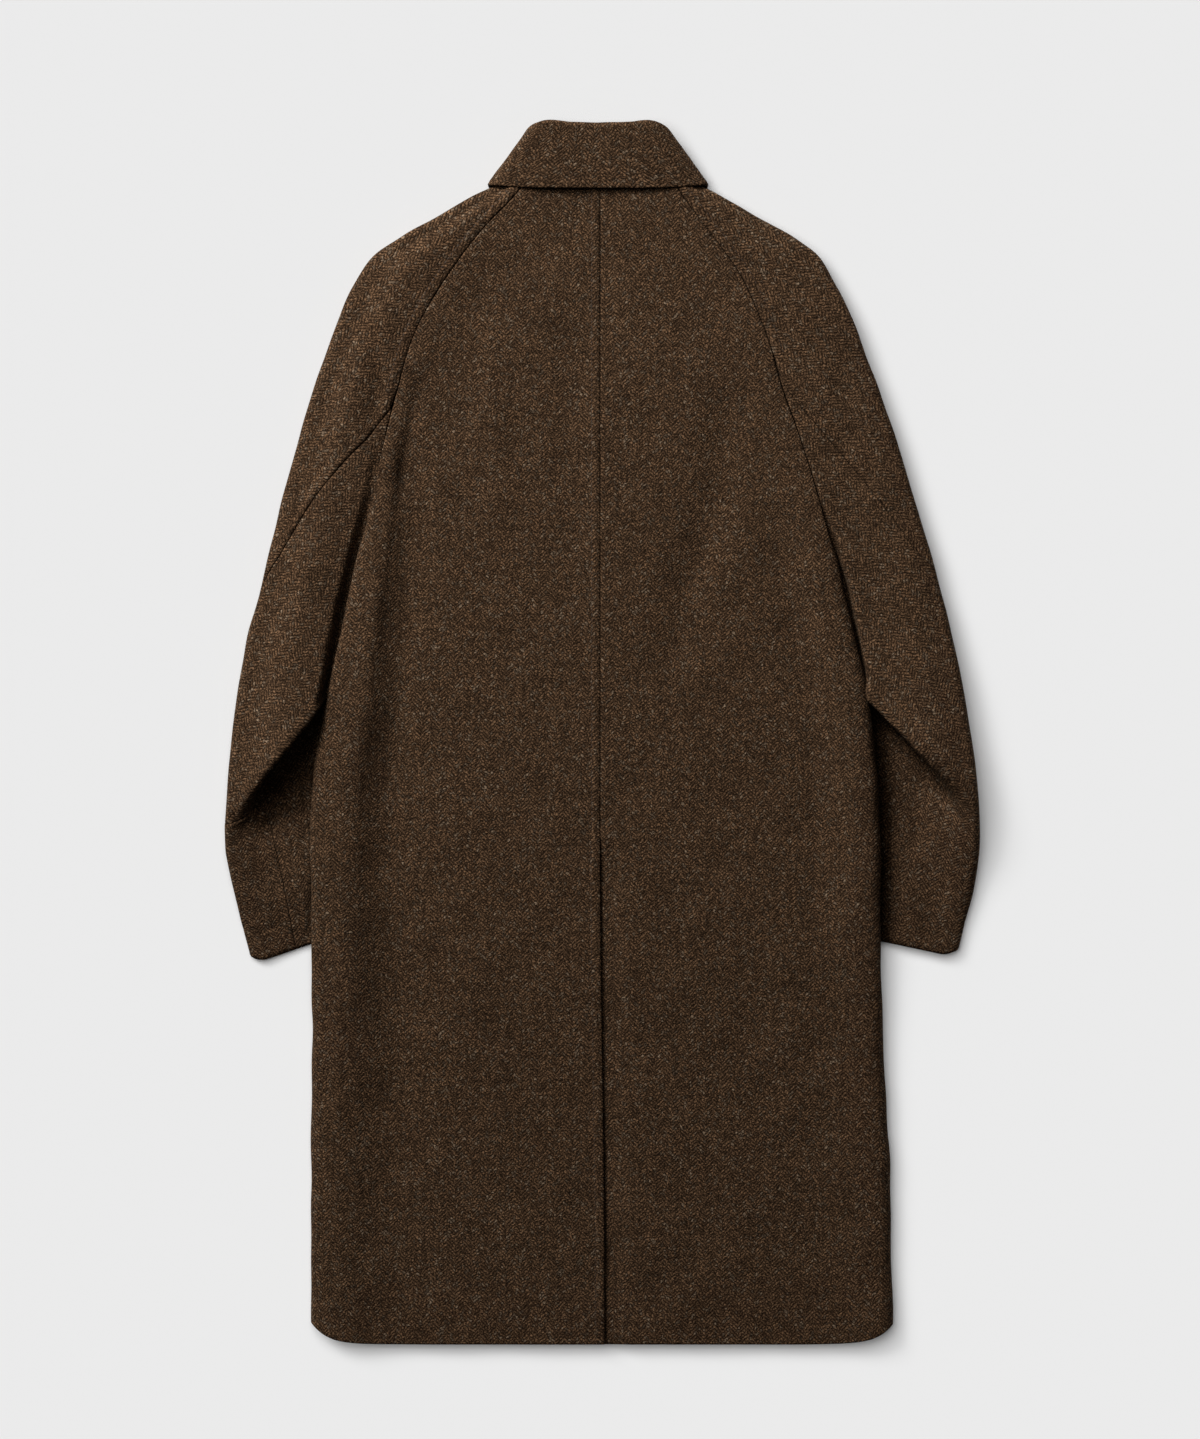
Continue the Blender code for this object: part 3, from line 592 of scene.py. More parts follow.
# The fronts. Two panels of the same wool that lie under the back, closed with the left one
# outermost, on the surface. Each is joined to the back at the side fold and to the sleeve at the
# front raglan seam; the front edges are turned in and topstitched.
FRONT_NECK_Y = 0.398
FRONT_NECK_SLOPE = math.radians(45.7)
FRONT_NECK_LIFT = (0.074, 0.115)
FRONT_TURN_FROM = 0.9
FRONT_LAP_LIFT = (0.052, 0.085)
FRONT_ON_SLEEVE = (0.130, 0.166)
SIDE_SEAM_OPEN = math.radians(4)
FRONT_EDGE_BAND = 0.0080
FRONT_EDGE_DENT = 0.0004
FRONT_DENT_TOP = 0.37
FRONT_STITCH_TOP = 0.36

# Sections of the fronts. past: how far each runs past the centre front, below 0 along the neckline.
# left, right: distance of the outer edge. rest: height of the sleeve that its side lies on.
# turned: 1 where the outer edge turns up to the side seam.
Front = namedtuple("Front", "y past left right rest turned")
FRONT = (
    Front(-0.5510, 0.045, 0.2525, 0.2515, 0.0000, 1.0),
    Front(-0.4000, 0.045, 0.2525, 0.2490, 0.0000, 1.0),
    Front(-0.2800, 0.045, 0.2515, 0.2425, 0.0000, 1.0),
    Front(-0.2050, 0.045, 0.2520, 0.2405, 0.0115, 1.0),
    Front(-0.1060, 0.045, 0.2525, 0.2400, 0.0115, 1.0),
    Front(0.0270, 0.045, 0.2380, 0.2300, 0.0115, 1.0),
    Front(0.0900, 0.045, 0.2250, 0.2155, 0.0115, 1.0),
    Front(0.1200, 0.045, 0.2020, 0.1960, 0.0115, 0.0),
    Front(0.1600, 0.045, 0.1760, 0.1740, 0.0100, 0.0),
    Front(0.2050, 0.045, 0.1745, 0.1700, 0.0000, 0.0),
    Front(0.2400, 0.045, 0.1730, 0.1630, 0.0000, 0.0),
    Front(0.3100, 0.045, 0.1580, 0.1440, 0.0000, 0.0),
    Front(0.3650, 0.045, 0.1405, 0.1275, 0.0000, 0.0),
    Front(0.3900, 0.005, 0.1315, 0.1190, 0.0000, 0.0),
    Front(0.4200, -0.036, 0.1180, 0.1065, 0.0000, 0.0),
    Front(0.4780, -0.077, 0.0842, 0.0785, 0.0000, 0.0),
)


def front_edge(side, y):
    """Distance of a front's raglan seam."""
    return getattr(section_at(FRONT, y), side) + SIDE_FOLD * math.sin(SEAM_DIP)


def front_place(side):
    """Points of a front: u from the front edge to the side seam, v from hem to neck."""

    def place(u, v):
        row = section(FRONT, v)
        body = section_at(BODY, row.y)
        outer = mix(getattr(row, side), getattr(body, side) - RAGLAN_GAP / 2 - SIDE_FOLD, row.turned)
        distance = mix(-row.past, outer, np.minimum(u / FRONT_TURN_FROM, 1.0))
        height = FLOOR + row.rest * ease(distance, *FRONT_ON_SLEEVE)
        neckline = np.abs(distance) * math.sin(FRONT_NECK_SLOPE)
        neckline = neckline - (row.y - FRONT_NECK_Y) * math.cos(FRONT_NECK_SLOPE)
        height = height + LIFT * (1.0 - ease(neckline, *FRONT_NECK_LIFT))
        if side == "right":
            height = height + LIFT * (1.0 - ease(distance, *FRONT_LAP_LIFT))
        angle = np.clip((u - FRONT_TURN_FROM) / (1.0 - FRONT_TURN_FROM), 0.0, 1.0)
        angle = angle * mix(SEAM_DIP, math.pi - SIDE_TURN - SIDE_SEAM_OPEN, row.turned)
        rise = (getattr(body, f"ridge_{side}") - height) / 2 * row.turned
        distance = distance + SIDE_FOLD * np.sin(angle)
        height = height + rise * (1.0 - np.cos(angle))
        y = hem_line(distance, row.y)
        return together(SIGN[side] * distance, y, height)

    return place


FRONT_ROWS = np.concatenate([FRONT[0].y + EDGE_STEPS[:5], np.linspace(FRONT[0].y + 0.006, FRONT[-1].y, 216)])
front_rows = share_at(FRONT, FRONT_ROWS)
for side, under in (("left", []), ("right", ["front_left"])):
    points, from_edge, _ = lay(front_place(side), front_rows, columns=76)
    out = facing(points) * -SIGN[side]
    grain = together(SIGN[side] * from_edge, points[..., 1])
    relief = -FRONT_EDGE_DENT * bump(from_edge, FRONT_EDGE_BAND, half_width=0.0012)
    points = points + out * (relief * (FRONT_ROWS[:, None] < FRONT_DENT_TOP))[..., None]
    piece = cloth(f"front_panel_{side}", points, grain, body_wool)
    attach(piece, "root")
    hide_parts(f"front_{side}")
    edged = [k for k in range(6, len(FRONT_ROWS)) if FRONT_ROWS[k] < FRONT_STITCH_TOP]
    line = stitch_line(points, out, from_edge, FRONT_EDGE_BAND, edged)
    stitching = topstitch(f"front_edge_stitching_{side}", line)


# The sleeves. Each raglan sleeve is two cuts of the same wool, set into the slanted seams of the
# body and joined by a seam that crosses from the back of the armhole to the outer fold. The arm
# bends at the elbow, where the upper part hangs over the forearm, and the cuff is turned in.
SLEEVE_FOLD = {"left": 0.010, "right": 0.006}
CUFF_FOLD = 0.005
SLEEVE_ARC = 0.08
FOLD_FULLNESS = 0.6
FRONT_SEAM_BACKSET = 0.0205
UNDER_SEAM = 0.12
FRONT_SEAM_GAP = 0.0004
SLEEVE_SEAM_GAP = 0.0003
RAGLAN_BAND = 0.0088
RAGLAN_RISE = 0.0007
CUFF_TURN = 0.026
CUFF_CORNER = 0.016
CUFF_CORNER_RISE = 0.007
CUFF_CORNER_FROM = 0.955
CUFF_DENT = 0.0004
SEAM_STARTS = 0.02
RAGLAN_ENDS = 0.06
TUBE_FROM = 0.9
SEAM_GROOVE = 0.0009
SEAM_GROOVE_HALF = 0.0016
SEAM_RIDGE = 0.0006
UNDER_SEAM_GROOVE = 0.0006
SLEEVE_UNEVEN = 0.0003
FACING_UP = (-0.4, 0.2)
HANG_STARTS = (0.10, 0.36)
HANG_ENDS = (0.90, 1.04)
CREASED_FROM = (0.02, 0.12)
CREASED_TO = (0.75, 0.95)
FALL_AT_SEAM = 0.85

# Rings of a sleeve from neck to cuff. outer, inner: ends of the ring in plan. edge: height over the
# outer fold. crown: greatest height. tuck: height at the inner end, under the body. cover: share of
# the ring clear of the body, and top: share of that where the crown is. floor: height of the lower
# wall. closed: 0 where the ring opens to the body, 1 where it is a tube. overhang: above 0 where the
# elbow fold hangs down over the forearm, below 0 where the cloth runs back up under it. seam: place
# of the sleeve seam.
Ring = namedtuple(
    "Ring", "outer_x outer_y inner_x inner_y edge crown tuck cover top floor closed overhang seam"
)
SLEEVES = {
    "left": (
        Ring(0.0820, 0.4975, 0.064, 0.5000, 0.0150, 0.0182, 0.0184, 1.00, 0.46, 0.0047, 0.0, 0.000, 0.00),
        Ring(0.1090, 0.4850, 0.081, 0.4800, 0.0155, 0.0192, 0.0192, 1.00, 0.46, 0.0047, 0.0, 0.000, 0.00),
        Ring(0.1440, 0.4650, 0.103, 0.4570, 0.0160, 0.0208, 0.0200, 1.00, 0.46, 0.0030, 0.0, 0.000, 0.00),
        Ring(0.1780, 0.4462, 0.120, 0.4365, 0.0160, 0.0218, 0.0200, 1.00, 0.46, FLOOR, 0.0, 0.000, 0.00),
        Ring(0.2060, 0.4270, 0.139, 0.4107, 0.0165, 0.0228, 0.0200, 1.00, 0.46, FLOOR, 0.0, 0.000, 0.00),
        Ring(0.2230, 0.4020, 0.158, 0.3800, 0.0170, 0.0242, 0.0200, 1.00, 0.44, FLOOR, 0.0, 0.000, 0.00),
        Ring(0.2380, 0.3670, 0.172, 0.3500, 0.0175, 0.0255, 0.0200, 1.00, 0.42, FLOOR, 0.0, 0.000, 0.00),
        Ring(0.2540, 0.3230, 0.184, 0.3100, 0.0175, 0.0262, 0.0200, 1.00, 0.42, FLOOR, 0.0, 0.000, 0.00),
        Ring(0.2700, 0.2720, 0.195, 0.2680, 0.0175, 0.0258, 0.0200, 1.00, 0.44, FLOOR, 0.0, 0.000, 0.22),
        Ring(0.2875, 0.2090, 0.189, 0.2080, 0.0170, 0.0256, 0.0180, 0.80, 0.46, FLOOR, 1.0, 0.000, 0.74),
        Ring(0.3090, 0.1190, 0.185, 0.1500, 0.0170, 0.0275, 0.0110, 0.66, 0.46, FLOOR, 1.0, 0.000, 1.00),
        Ring(0.3210, 0.0740, 0.185, 0.1260, 0.0185, 0.0305, 0.0096, 0.64, 0.46, FLOOR, 1.0, 0.000, 1.04),
        Ring(0.3330, -0.0120, 0.186, 0.1180, 0.0225, 0.0365, 0.0096, 0.62, 0.48, FLOOR, 1.0, 0.000, 1.04),
        Ring(0.3380, -0.0760, 0.187, 0.1145, 0.0250, 0.0425, 0.0096, 0.60, 0.50, FLOOR, 1.0, 0.000, 1.04),
        Ring(0.3386, -0.0825, 0.187, 0.1120, 0.0246, 0.0415, 0.0090, 0.60, 0.50, FLOOR, 1.0, 0.002, 0.98),
        Ring(0.3389, -0.0900, 0.187, 0.1085, 0.0236, 0.0275, 0.0080, 0.59, 0.46, FLOOR, 1.0, -0.003, 0.92),
        Ring(0.3388, -0.0985, 0.187, 0.1045, 0.0220, 0.0110, 0.0075, 0.59, 0.46, FLOOR, 1.0, -0.017, 0.86),
        Ring(0.3384, -0.1070, 0.187, 0.0995, 0.0205, 0.0064, 0.0072, 0.56, 0.46, FLOOR, 1.0, -0.021, 0.80),
        Ring(0.3364, -0.1180, 0.183, 0.0600, 0.0185, 0.0064, 0.0072, 0.55, 0.46, FLOOR, 1.0, 0.000, 0.75),
        Ring(0.3322, -0.1370, 0.178, -0.0100, 0.0150, 0.0112, 0.0072, 0.50, 0.46, FLOOR, 1.0, 0.000, 0.74),
        Ring(0.3258, -0.1640, 0.175, -0.0850, 0.0112, 0.0104, 0.0060, 0.45, 0.50, FLOOR, 1.0, 0.000, 0.73),
        Ring(0.3165, -0.2095, 0.172, -0.1600, 0.0060, 0.0040, 0.0040, 0.36, 0.50, FLOOR, 1.0, 0.000, 0.72),
    ),
    "right": (
        Ring(0.0745, 0.4970, 0.060, 0.5000, 0.0150, 0.0182, 0.0184, 1.00, 0.30, 0.0047, 0.0, 0.000, 0.00),
        Ring(0.0995, 0.4850, 0.074, 0.4800, 0.0160, 0.0192, 0.0192, 1.00, 0.28, 0.0047, 0.0, 0.000, 0.00),
        Ring(0.1320, 0.4662, 0.091, 0.4570, 0.0180, 0.0206, 0.0200, 1.00, 0.24, 0.0030, 0.0, 0.000, 0.00),
        Ring(0.1640, 0.4484, 0.106, 0.4365, 0.0195, 0.0213, 0.0200, 1.00, 0.20, FLOOR, 0.0, 0.000, 0.00),
        Ring(0.1930, 0.4280, 0.124, 0.4107, 0.0208, 0.0222, 0.0200, 1.00, 0.18, FLOOR, 0.0, 0.000, 0.00),
        Ring(0.2090, 0.4020, 0.139, 0.3800, 0.0216, 0.0229, 0.0200, 1.00, 0.16, FLOOR, 0.0, 0.000, 0.00),
        Ring(0.2250, 0.3670, 0.150, 0.3500, 0.0220, 0.0233, 0.0200, 1.00, 0.16, FLOOR, 0.0, 0.000, 0.00),
        Ring(0.2420, 0.3220, 0.162, 0.3100, 0.0220, 0.0234, 0.0200, 1.00, 0.16, FLOOR, 0.0, 0.000, 0.09),
        Ring(0.2590, 0.2750, 0.177, 0.2680, 0.0220, 0.0235, 0.0200, 1.00, 0.16, FLOOR, 0.0, 0.000, 0.29),
        Ring(0.2695, 0.2430, 0.186, 0.2400, 0.0220, 0.0236, 0.0200, 1.00, 0.16, FLOOR, 0.0, 0.000, 0.45),
        Ring(0.2778, 0.2150, 0.193, 0.2150, 0.0220, 0.0237, 0.0195, 1.00, 0.16, FLOOR, 0.0, 0.000, 0.60),
        Ring(0.2945, 0.1580, 0.186, 0.1500, 0.0226, 0.0244, 0.0120, 0.75, 0.16, FLOOR, 1.0, 0.000, 0.90),
        Ring(0.3055, 0.1190, 0.185, 0.1250, 0.0240, 0.0254, 0.0095, 0.70, 0.16, FLOOR, 1.0, 0.000, 1.00),
        Ring(0.3160, 0.0740, 0.184, 0.1020, 0.0268, 0.0276, 0.0096, 0.67, 0.18, FLOOR, 1.0, 0.000, 1.04),
        Ring(0.3312, -0.0080, 0.185, 0.0900, 0.0315, 0.0335, 0.0096, 0.66, 0.26, FLOOR, 1.0, 0.000, 1.04),
        Ring(0.3369, -0.0600, 0.186, 0.0860, 0.0352, 0.0400, 0.0096, 0.69, 0.40, FLOOR, 1.0, 0.000, 1.04),
        Ring(0.3377, -0.0690, 0.186, 0.0840, 0.0345, 0.0385, 0.0090, 0.69, 0.44, FLOOR, 1.0, 0.001, 1.04),
        Ring(0.3382, -0.0790, 0.186, 0.0800, 0.0328, 0.0260, 0.0080, 0.68, 0.48, FLOOR, 1.0, -0.003, 1.04),
        Ring(0.3384, -0.0890, 0.186, 0.0760, 0.0302, 0.0115, 0.0075, 0.66, 0.56, FLOOR, 1.0, -0.016, 1.04),
        Ring(0.3382, -0.0990, 0.186, 0.0720, 0.0270, 0.0066, 0.0072, 0.64, 0.60, FLOOR, 1.0, -0.020, 1.04),
        Ring(0.3376, -0.1080, 0.183, 0.0400, 0.0238, 0.0064, 0.0072, 0.61, 0.60, FLOOR, 1.0, 0.000, 1.04),
        Ring(0.3361, -0.1220, 0.180, -0.0200, 0.0188, 0.0076, 0.0076, 0.57, 0.58, FLOOR, 1.0, 0.000, 1.04),
        Ring(0.3320, -0.1460, 0.177, -0.0900, 0.0130, 0.0096, 0.0086, 0.54, 0.50, FLOOR, 1.0, 0.000, 1.04),
        Ring(0.3188, -0.2030, 0.174, -0.1720, 0.0088, 0.0092, 0.0086, 0.47, 0.40, FLOOR, 1.0, 0.000, 1.04),
    ),
}
FALL_TO_BODY = {"left": 0.30, "right": 0.32}
DROP_AT_BODY = {"left": 0.88, "right": 0.94}
ELBOW = {"left": (13 / 21, 17 / 21), "right": (15 / 23, 19 / 23)}
UNDER_START = {"left": 15 / 42, "right": 13 / 46}

SLEEVE_CREASES = {
    "left": (
        Crease(((-0.212, 0.395), (-0.204, 0.335), (-0.199, 0.281), (-0.205, 0.236)), 0.011, 0.0030),
        Crease(((-0.268, 0.180), (-0.285, 0.110), (-0.300, 0.040)), 0.014, -0.0012),
        Crease(((-0.240, 0.020), (-0.275, -0.010), (-0.315, -0.045)), 0.010, -0.0014),
        Crease(((-0.285, -0.110), (-0.275, -0.150), (-0.262, -0.185)), 0.010, -0.0010),
    ),
    "right": (
        Crease(((0.212, 0.350), (0.219, 0.300), (0.224, 0.240)), 0.013, 0.0018),
        Crease(((0.262, 0.180), (0.280, 0.100), (0.298, 0.030)), 0.014, -0.0011),
        Crease(((0.262, 0.015), (0.285, -0.005), (0.315, -0.040)), 0.010, -0.0012),
        Crease(((0.300, -0.090), (0.292, -0.135), (0.280, -0.180)), 0.010, -0.0010),
    ),
}


def ring_height(side, ring, share):
    """Height of a sleeve's upper wall at a share of the ring from its outer end."""
    outer_share = SLEEVE_FOLD[side] / np.hypot(ring.outer_x - ring.inner_x, ring.outer_y - ring.inner_y)
    top = mix(outer_share, ring.cover, ring.top)
    height = mix(ring.edge, ring.crown, ease(share, outer_share, top))
    fall = mix(FALL_AT_SEAM, FALL_TO_BODY[side], ring.closed) * ease(share, top, ring.cover)
    height = mix(height, ring.tuck, fall)
    return mix(height, ring.tuck, ease(share, ring.cover * DROP_AT_BODY[side], ring.cover))


def ring_points(side, ring, q):
    """Points round rings: q 0 at the upper wall's inner end, 1 at the outer fold, 2 at the end below."""
    q = np.where(q < 0.0, q + 2.0, q)
    upper = q <= 1.0
    way = np.where(upper, q, 2.0 - q)
    seam_y = np.where(upper, ring.inner_y, ring.inner_y - FRONT_SEAM_BACKSET)
    seam_x = np.where(upper, getattr(section_at(BODY, seam_y), side), front_edge(side, seam_y))
    end_x = mix(seam_x, ring.inner_x, ring.closed)
    end_y = mix(seam_y, ring.inner_y, ring.closed)
    across_x, across_y = end_x - ring.outer_x, end_y - ring.outer_y
    reach = np.hypot(across_x, across_y)
    length = reach - np.where(upper, RAGLAN_GAP / 2, FRONT_SEAM_GAP) * (1.0 - ring.closed)
    fold = mix(SIDE_FOLD, CUFF_FOLD, ring.closed)
    sweep = mix(SEAM_DIP, math.pi / 2, ring.closed)
    inner_stop = length - fold * np.sin(sweep)
    arc = (ring.tuck - ring.floor) / 2

    angle = (1.0 - way) / SLEEVE_ARC * math.pi / 2
    half = (ring.edge - ring.floor) / 2
    outer_along = SLEEVE_FOLD[side] * (1.0 - np.cos(angle))
    outer_height = ring.floor + half + np.where(upper, half, -half) * np.sin(angle) ** FOLD_FULLNESS
    flat_along = mix(inner_stop, SLEEVE_FOLD[side], (way - SLEEVE_ARC) / (1.0 - 2 * SLEEVE_ARC))
    flat_height = np.where(upper, ring_height(side, ring, flat_along / length), ring.floor)
    angle = (1.0 - way / SLEEVE_ARC) * sweep
    inner_along = inner_stop + fold * np.sin(angle)
    bent = arc * (1.0 - np.cos(angle))
    inner_top = ring_height(side, ring, inner_stop / length)
    inner_height = np.where(upper, inner_top - bent, ring.floor + ring.closed * bent)
    at_outer, at_inner = way > 1.0 - SLEEVE_ARC, way <= SLEEVE_ARC
    along = np.where(at_outer, outer_along, np.where(at_inner, inner_along, flat_along))
    height = np.where(at_outer, outer_height, np.where(at_inner, inner_height, flat_height))

    unit_x, unit_y = across_x / reach, across_y / reach
    share = along / length
    shown = ease(share, *HANG_STARTS) * (1.0 - ease(share / ring.cover, *HANG_ENDS))
    hang = np.where(upper, ring.overhang * shown, 0.0)
    x = ring.outer_x + unit_x * along - unit_y * hang
    y = ring.outer_y + unit_y * along + unit_x * hang
    relief = crease_relief(SLEEVE_CREASES[side], SIGN[side] * x, y)
    inside = ease(share, *CREASED_FROM) * (1.0 - ease(share, *CREASED_TO))
    height = height + np.where(upper, relief * inside, 0.0)
    return together(SIGN[side] * x, y, height)


def sleeve_place(side, cut):
    """Points of a sleeve piece: u round the ring, v the share of the way down the sleeve."""

    def place(u, v):
        ring = section(SLEEVES[side], v)
        width = np.hypot(ring.outer_x - ring.inner_x, ring.outer_y - ring.inner_y)
        gap = SLEEVE_SEAM_GAP / 2 / width
        if cut == "top":
            first = ring.seam + gap * ease(ring.seam, 0.0, SEAM_STARTS)
            last = 2.0 - (UNDER_SEAM + gap) * ease(ring.closed, TUBE_FROM, 1.0)
        else:
            first = (gap - UNDER_SEAM) * ease(ring.closed, TUBE_FROM, 1.0)
            last = ring.seam - gap
        points = ring_points(side, ring, mix(first, last, u))
        from_fold = np.hypot(points[..., 0] - SIGN[side] * ring.outer_x, points[..., 1] - ring.outer_y)
        corner = np.maximum(1.0 - from_fold / CUFF_CORNER, 0.0)
        points[..., 1] += CUFF_CORNER_RISE * corner**2 * ease(v, CUFF_CORNER_FROM, 1.0)
        return points

    return place


GUIDE_LINES = np.array([[0.35, 0.60, 0.85]])
GUIDE_STEPS = 1600
ELBOW_CLOSENESS = 2.0


def sleeve_rows(side, first, count):
    """Shares down a sleeve at even lengths along three guide lines, closer at the elbow fold."""
    shares = np.linspace(first, 1.0, GUIDE_STEPS)
    ring = section(SLEEVES[side], shares[:, None])
    guide = ring_points(side, ring, GUIDE_LINES)
    steps = np.linalg.norm(np.diff(guide, axis=0), axis=2).mean(axis=1)
    start, end = ELBOW[side]
    middle = (shares[1:] + shares[:-1]) / 2
    steps = steps * np.where((middle > start - 0.01) & (middle < end), ELBOW_CLOSENESS, 1.0)
    run = np.concatenate([[0.0], np.cumsum(steps)])
    return np.interp(np.linspace(0.0, run[-1], count), run, shares)


# The grain runs along the shoulder and curves down the upper arm, and runs straight down the forearm.
GRAIN_CENTRE = (-0.576, -0.584)
GRAIN_RADIUS = 1.07
FOREARM_GRAIN = math.radians(-13)
FOREARM_GRAIN_FROM = 0.55
GRAIN_OF_HEIGHT = 0.8


def sleeve_grain(side, points, rows, from_start, to_fold):
    """Grain lines of a sleeve piece: laid out flat from its outer fold, below the elbow as it lies."""
    ring = section(SLEEVES[side], rows[:, None])
    across_x, across_y = ring.inner_x - ring.outer_x, ring.inner_y - ring.outer_y
    reach = np.hypot(across_x, across_y)
    inward = to_fold - from_start
    x = ring.outer_x + across_x / reach * inward
    y = ring.outer_y + across_y / reach * inward
    u = np.hypot(x - GRAIN_CENTRE[0], y - GRAIN_CENTRE[1]) - GRAIN_RADIUS
    v = GRAIN_RADIUS * np.arctan2(y - GRAIN_CENTRE[1], x - GRAIN_CENTRE[0])
    low_x, low_y = SIGN[side] * points[..., 0], points[..., 1]
    low_u = low_x * math.cos(FOREARM_GRAIN) + low_y * math.sin(FOREARM_GRAIN)
    low_v = low_y * math.cos(FOREARM_GRAIN) - low_x * math.sin(FOREARM_GRAIN)
    low_v = low_v + GRAIN_OF_HEIGHT * points[..., 2]
    start, end = ELBOW[side]
    below = rows[:, None] > mix(start, end, FOREARM_GRAIN_FROM)
    return together(np.where(below, low_u, u) * SIGN[side], np.where(below, low_v, v))


# The sleeves' wool is the body's wool painted 3 % lighter: painted light.
sleeve_wool_painted_lighter = wool("sleeve_wool_painted_lighter", painted_brightness=1.03)
for side in ("left", "right"):
    for cut, first, count, columns in (("top", 0.0, 280, 100), ("under", UNDER_START[side], 210, 92)):
        rows = sleeve_rows(side, first, count)
        points, from_start, from_end = lay(sleeve_place(side, cut), rows, columns)
        ring = section(SLEEVES[side], rows[:, None])
        away = np.linalg.norm(points - ring_points(side, ring, np.ones((len(rows), 1))), axis=2)
        nearest = np.argmin(away, axis=1)[:, None]
        to_fold = np.take_along_axis(from_start, nearest, axis=1)
        if cut == "under":
            to_fold = to_fold + np.take_along_axis(away, nearest, axis=1)
        out = facing(points) * -SIGN[side]
        x, y = points[..., 0], points[..., 1]
        relief = SLEEVE_UNEVEN * unevenness(x, y, longest=0.080, shortest=0.025, seed=5)
        cuff = np.linalg.norm(points - points[-1:], axis=2)
        relief = relief - CUFF_DENT * bump(cuff, CUFF_TURN, half_width=0.0022) * (rows[:, None] > 0.9)
        deep = 1.0 - 0.7 * ease(rows[:, None], ELBOW[side][1], ELBOW[side][1] + 0.08)
        deep = deep * (1.0 - bump(ring.seam, 1.0, 0.07))
        if cut == "top":
            on_raglan = 1.0 - ease(ring.seam, 0.0, RAGLAN_ENDS)
            relief = relief + on_raglan * seam_band(from_start, RAGLAN_BAND, RAGLAN_RISE)
            pressed = SEAM_RIDGE * bump(from_start, centre=0.004, half_width=0.003)
            pressed = pressed - SEAM_GROOVE * bump(from_start, 0.0, SEAM_GROOVE_HALF)
            relief = relief + (1.0 - on_raglan) * deep * pressed
            relief = relief - UNDER_SEAM_GROOVE * bump(from_end, 0.0, SEAM_GROOVE_HALF)
        else:
            relief = relief - SEAM_GROOVE * deep * bump(from_end, 0.0, SEAM_GROOVE_HALF)
            relief = relief - UNDER_SEAM_GROOVE * bump(from_start, 0.0, SEAM_GROOVE_HALF)
        points = points + out * (relief * ease(out[..., 2], *FACING_UP))[..., None]
        grain = sleeve_grain(side, points, rows, from_start, to_fold)
        piece = cloth(f"sleeve_{cut}_{side}", points, grain, sleeve_wool_painted_lighter)
        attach(piece, "root")
        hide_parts(f"sleeve_{side}_{cut}")
        if cut == "top":
            seamed = [k for k in range(4, len(rows)) if ring.seam[k, 0] < SEAM_STARTS]
            line = stitch_line(points, out, from_start, RAGLAN_BAND, seamed)
            stitching = topstitch(f"raglan_stitching_{side}", line)


# The collar. A turn-down collar in one bent strip: a stand sewn to the neckline, a roll at the
# top, and a fall whose edge is topstitched and stands clear of the back.
COLLAR_CENTRE = -0.004
COLLAR_ROLL = 0.0024
ROLL_HEIGHTS = (0.0234, FLOOR + COLLAR_ROLL)
EDGE_HEIGHTS = (0.0234, FLOOR)
NECK_HEIGHTS = (0.0190, 0.0046)
COLLAR_STITCH = 0.0042
COLLAR_DENT = 0.0004
COLLAR_RIM = 0.0007
COLLAR_UNEVEN = 0.0003
COLLAR_END_DROP = 0.0030
COLLAR_END_FROM = (0.045, 0.085)
FALL_ENDS = 0.5
STAND_STARTS = 0.6

# Half of the collar from the centre back round the neck to its front end. roll: the fold. edge: the
# free edge of the fall. neck: the seam to the neckline. turn: 0 on the back, 1 in front.
Collar = namedtuple("Collar", "roll_x roll_y edge_x edge_y neck_x neck_y turn")
COLLAR = (
    Collar(0.0000, 0.5462, 0.0000, 0.4885, 0.0000, 0.5006, 0.00),
    Collar(0.0280, 0.5471, 0.0400, 0.4885, 0.0280, 0.5006, 0.00),
    Collar(0.0445, 0.5486, 0.0700, 0.4895, 0.0450, 0.5006, 0.03),
    Collar(0.0550, 0.5460, 0.0890, 0.4910, 0.0580, 0.5010, 0.18),
    Collar(0.0612, 0.5392, 0.0990, 0.4920, 0.0690, 0.5020, 0.50),
    Collar(0.0600, 0.5290, 0.0985, 0.4905, 0.0710, 0.5000, 0.82),
    Collar(0.0540, 0.5110, 0.0950, 0.4860, 0.0670, 0.4880, 0.97),
    Collar(0.0300, 0.4640, 0.0680, 0.4050, 0.0360, 0.4420, 1.00),
    Collar(0.0060, 0.4250, 0.0450, 0.3520, 0.0050, 0.4040, 1.00),
)


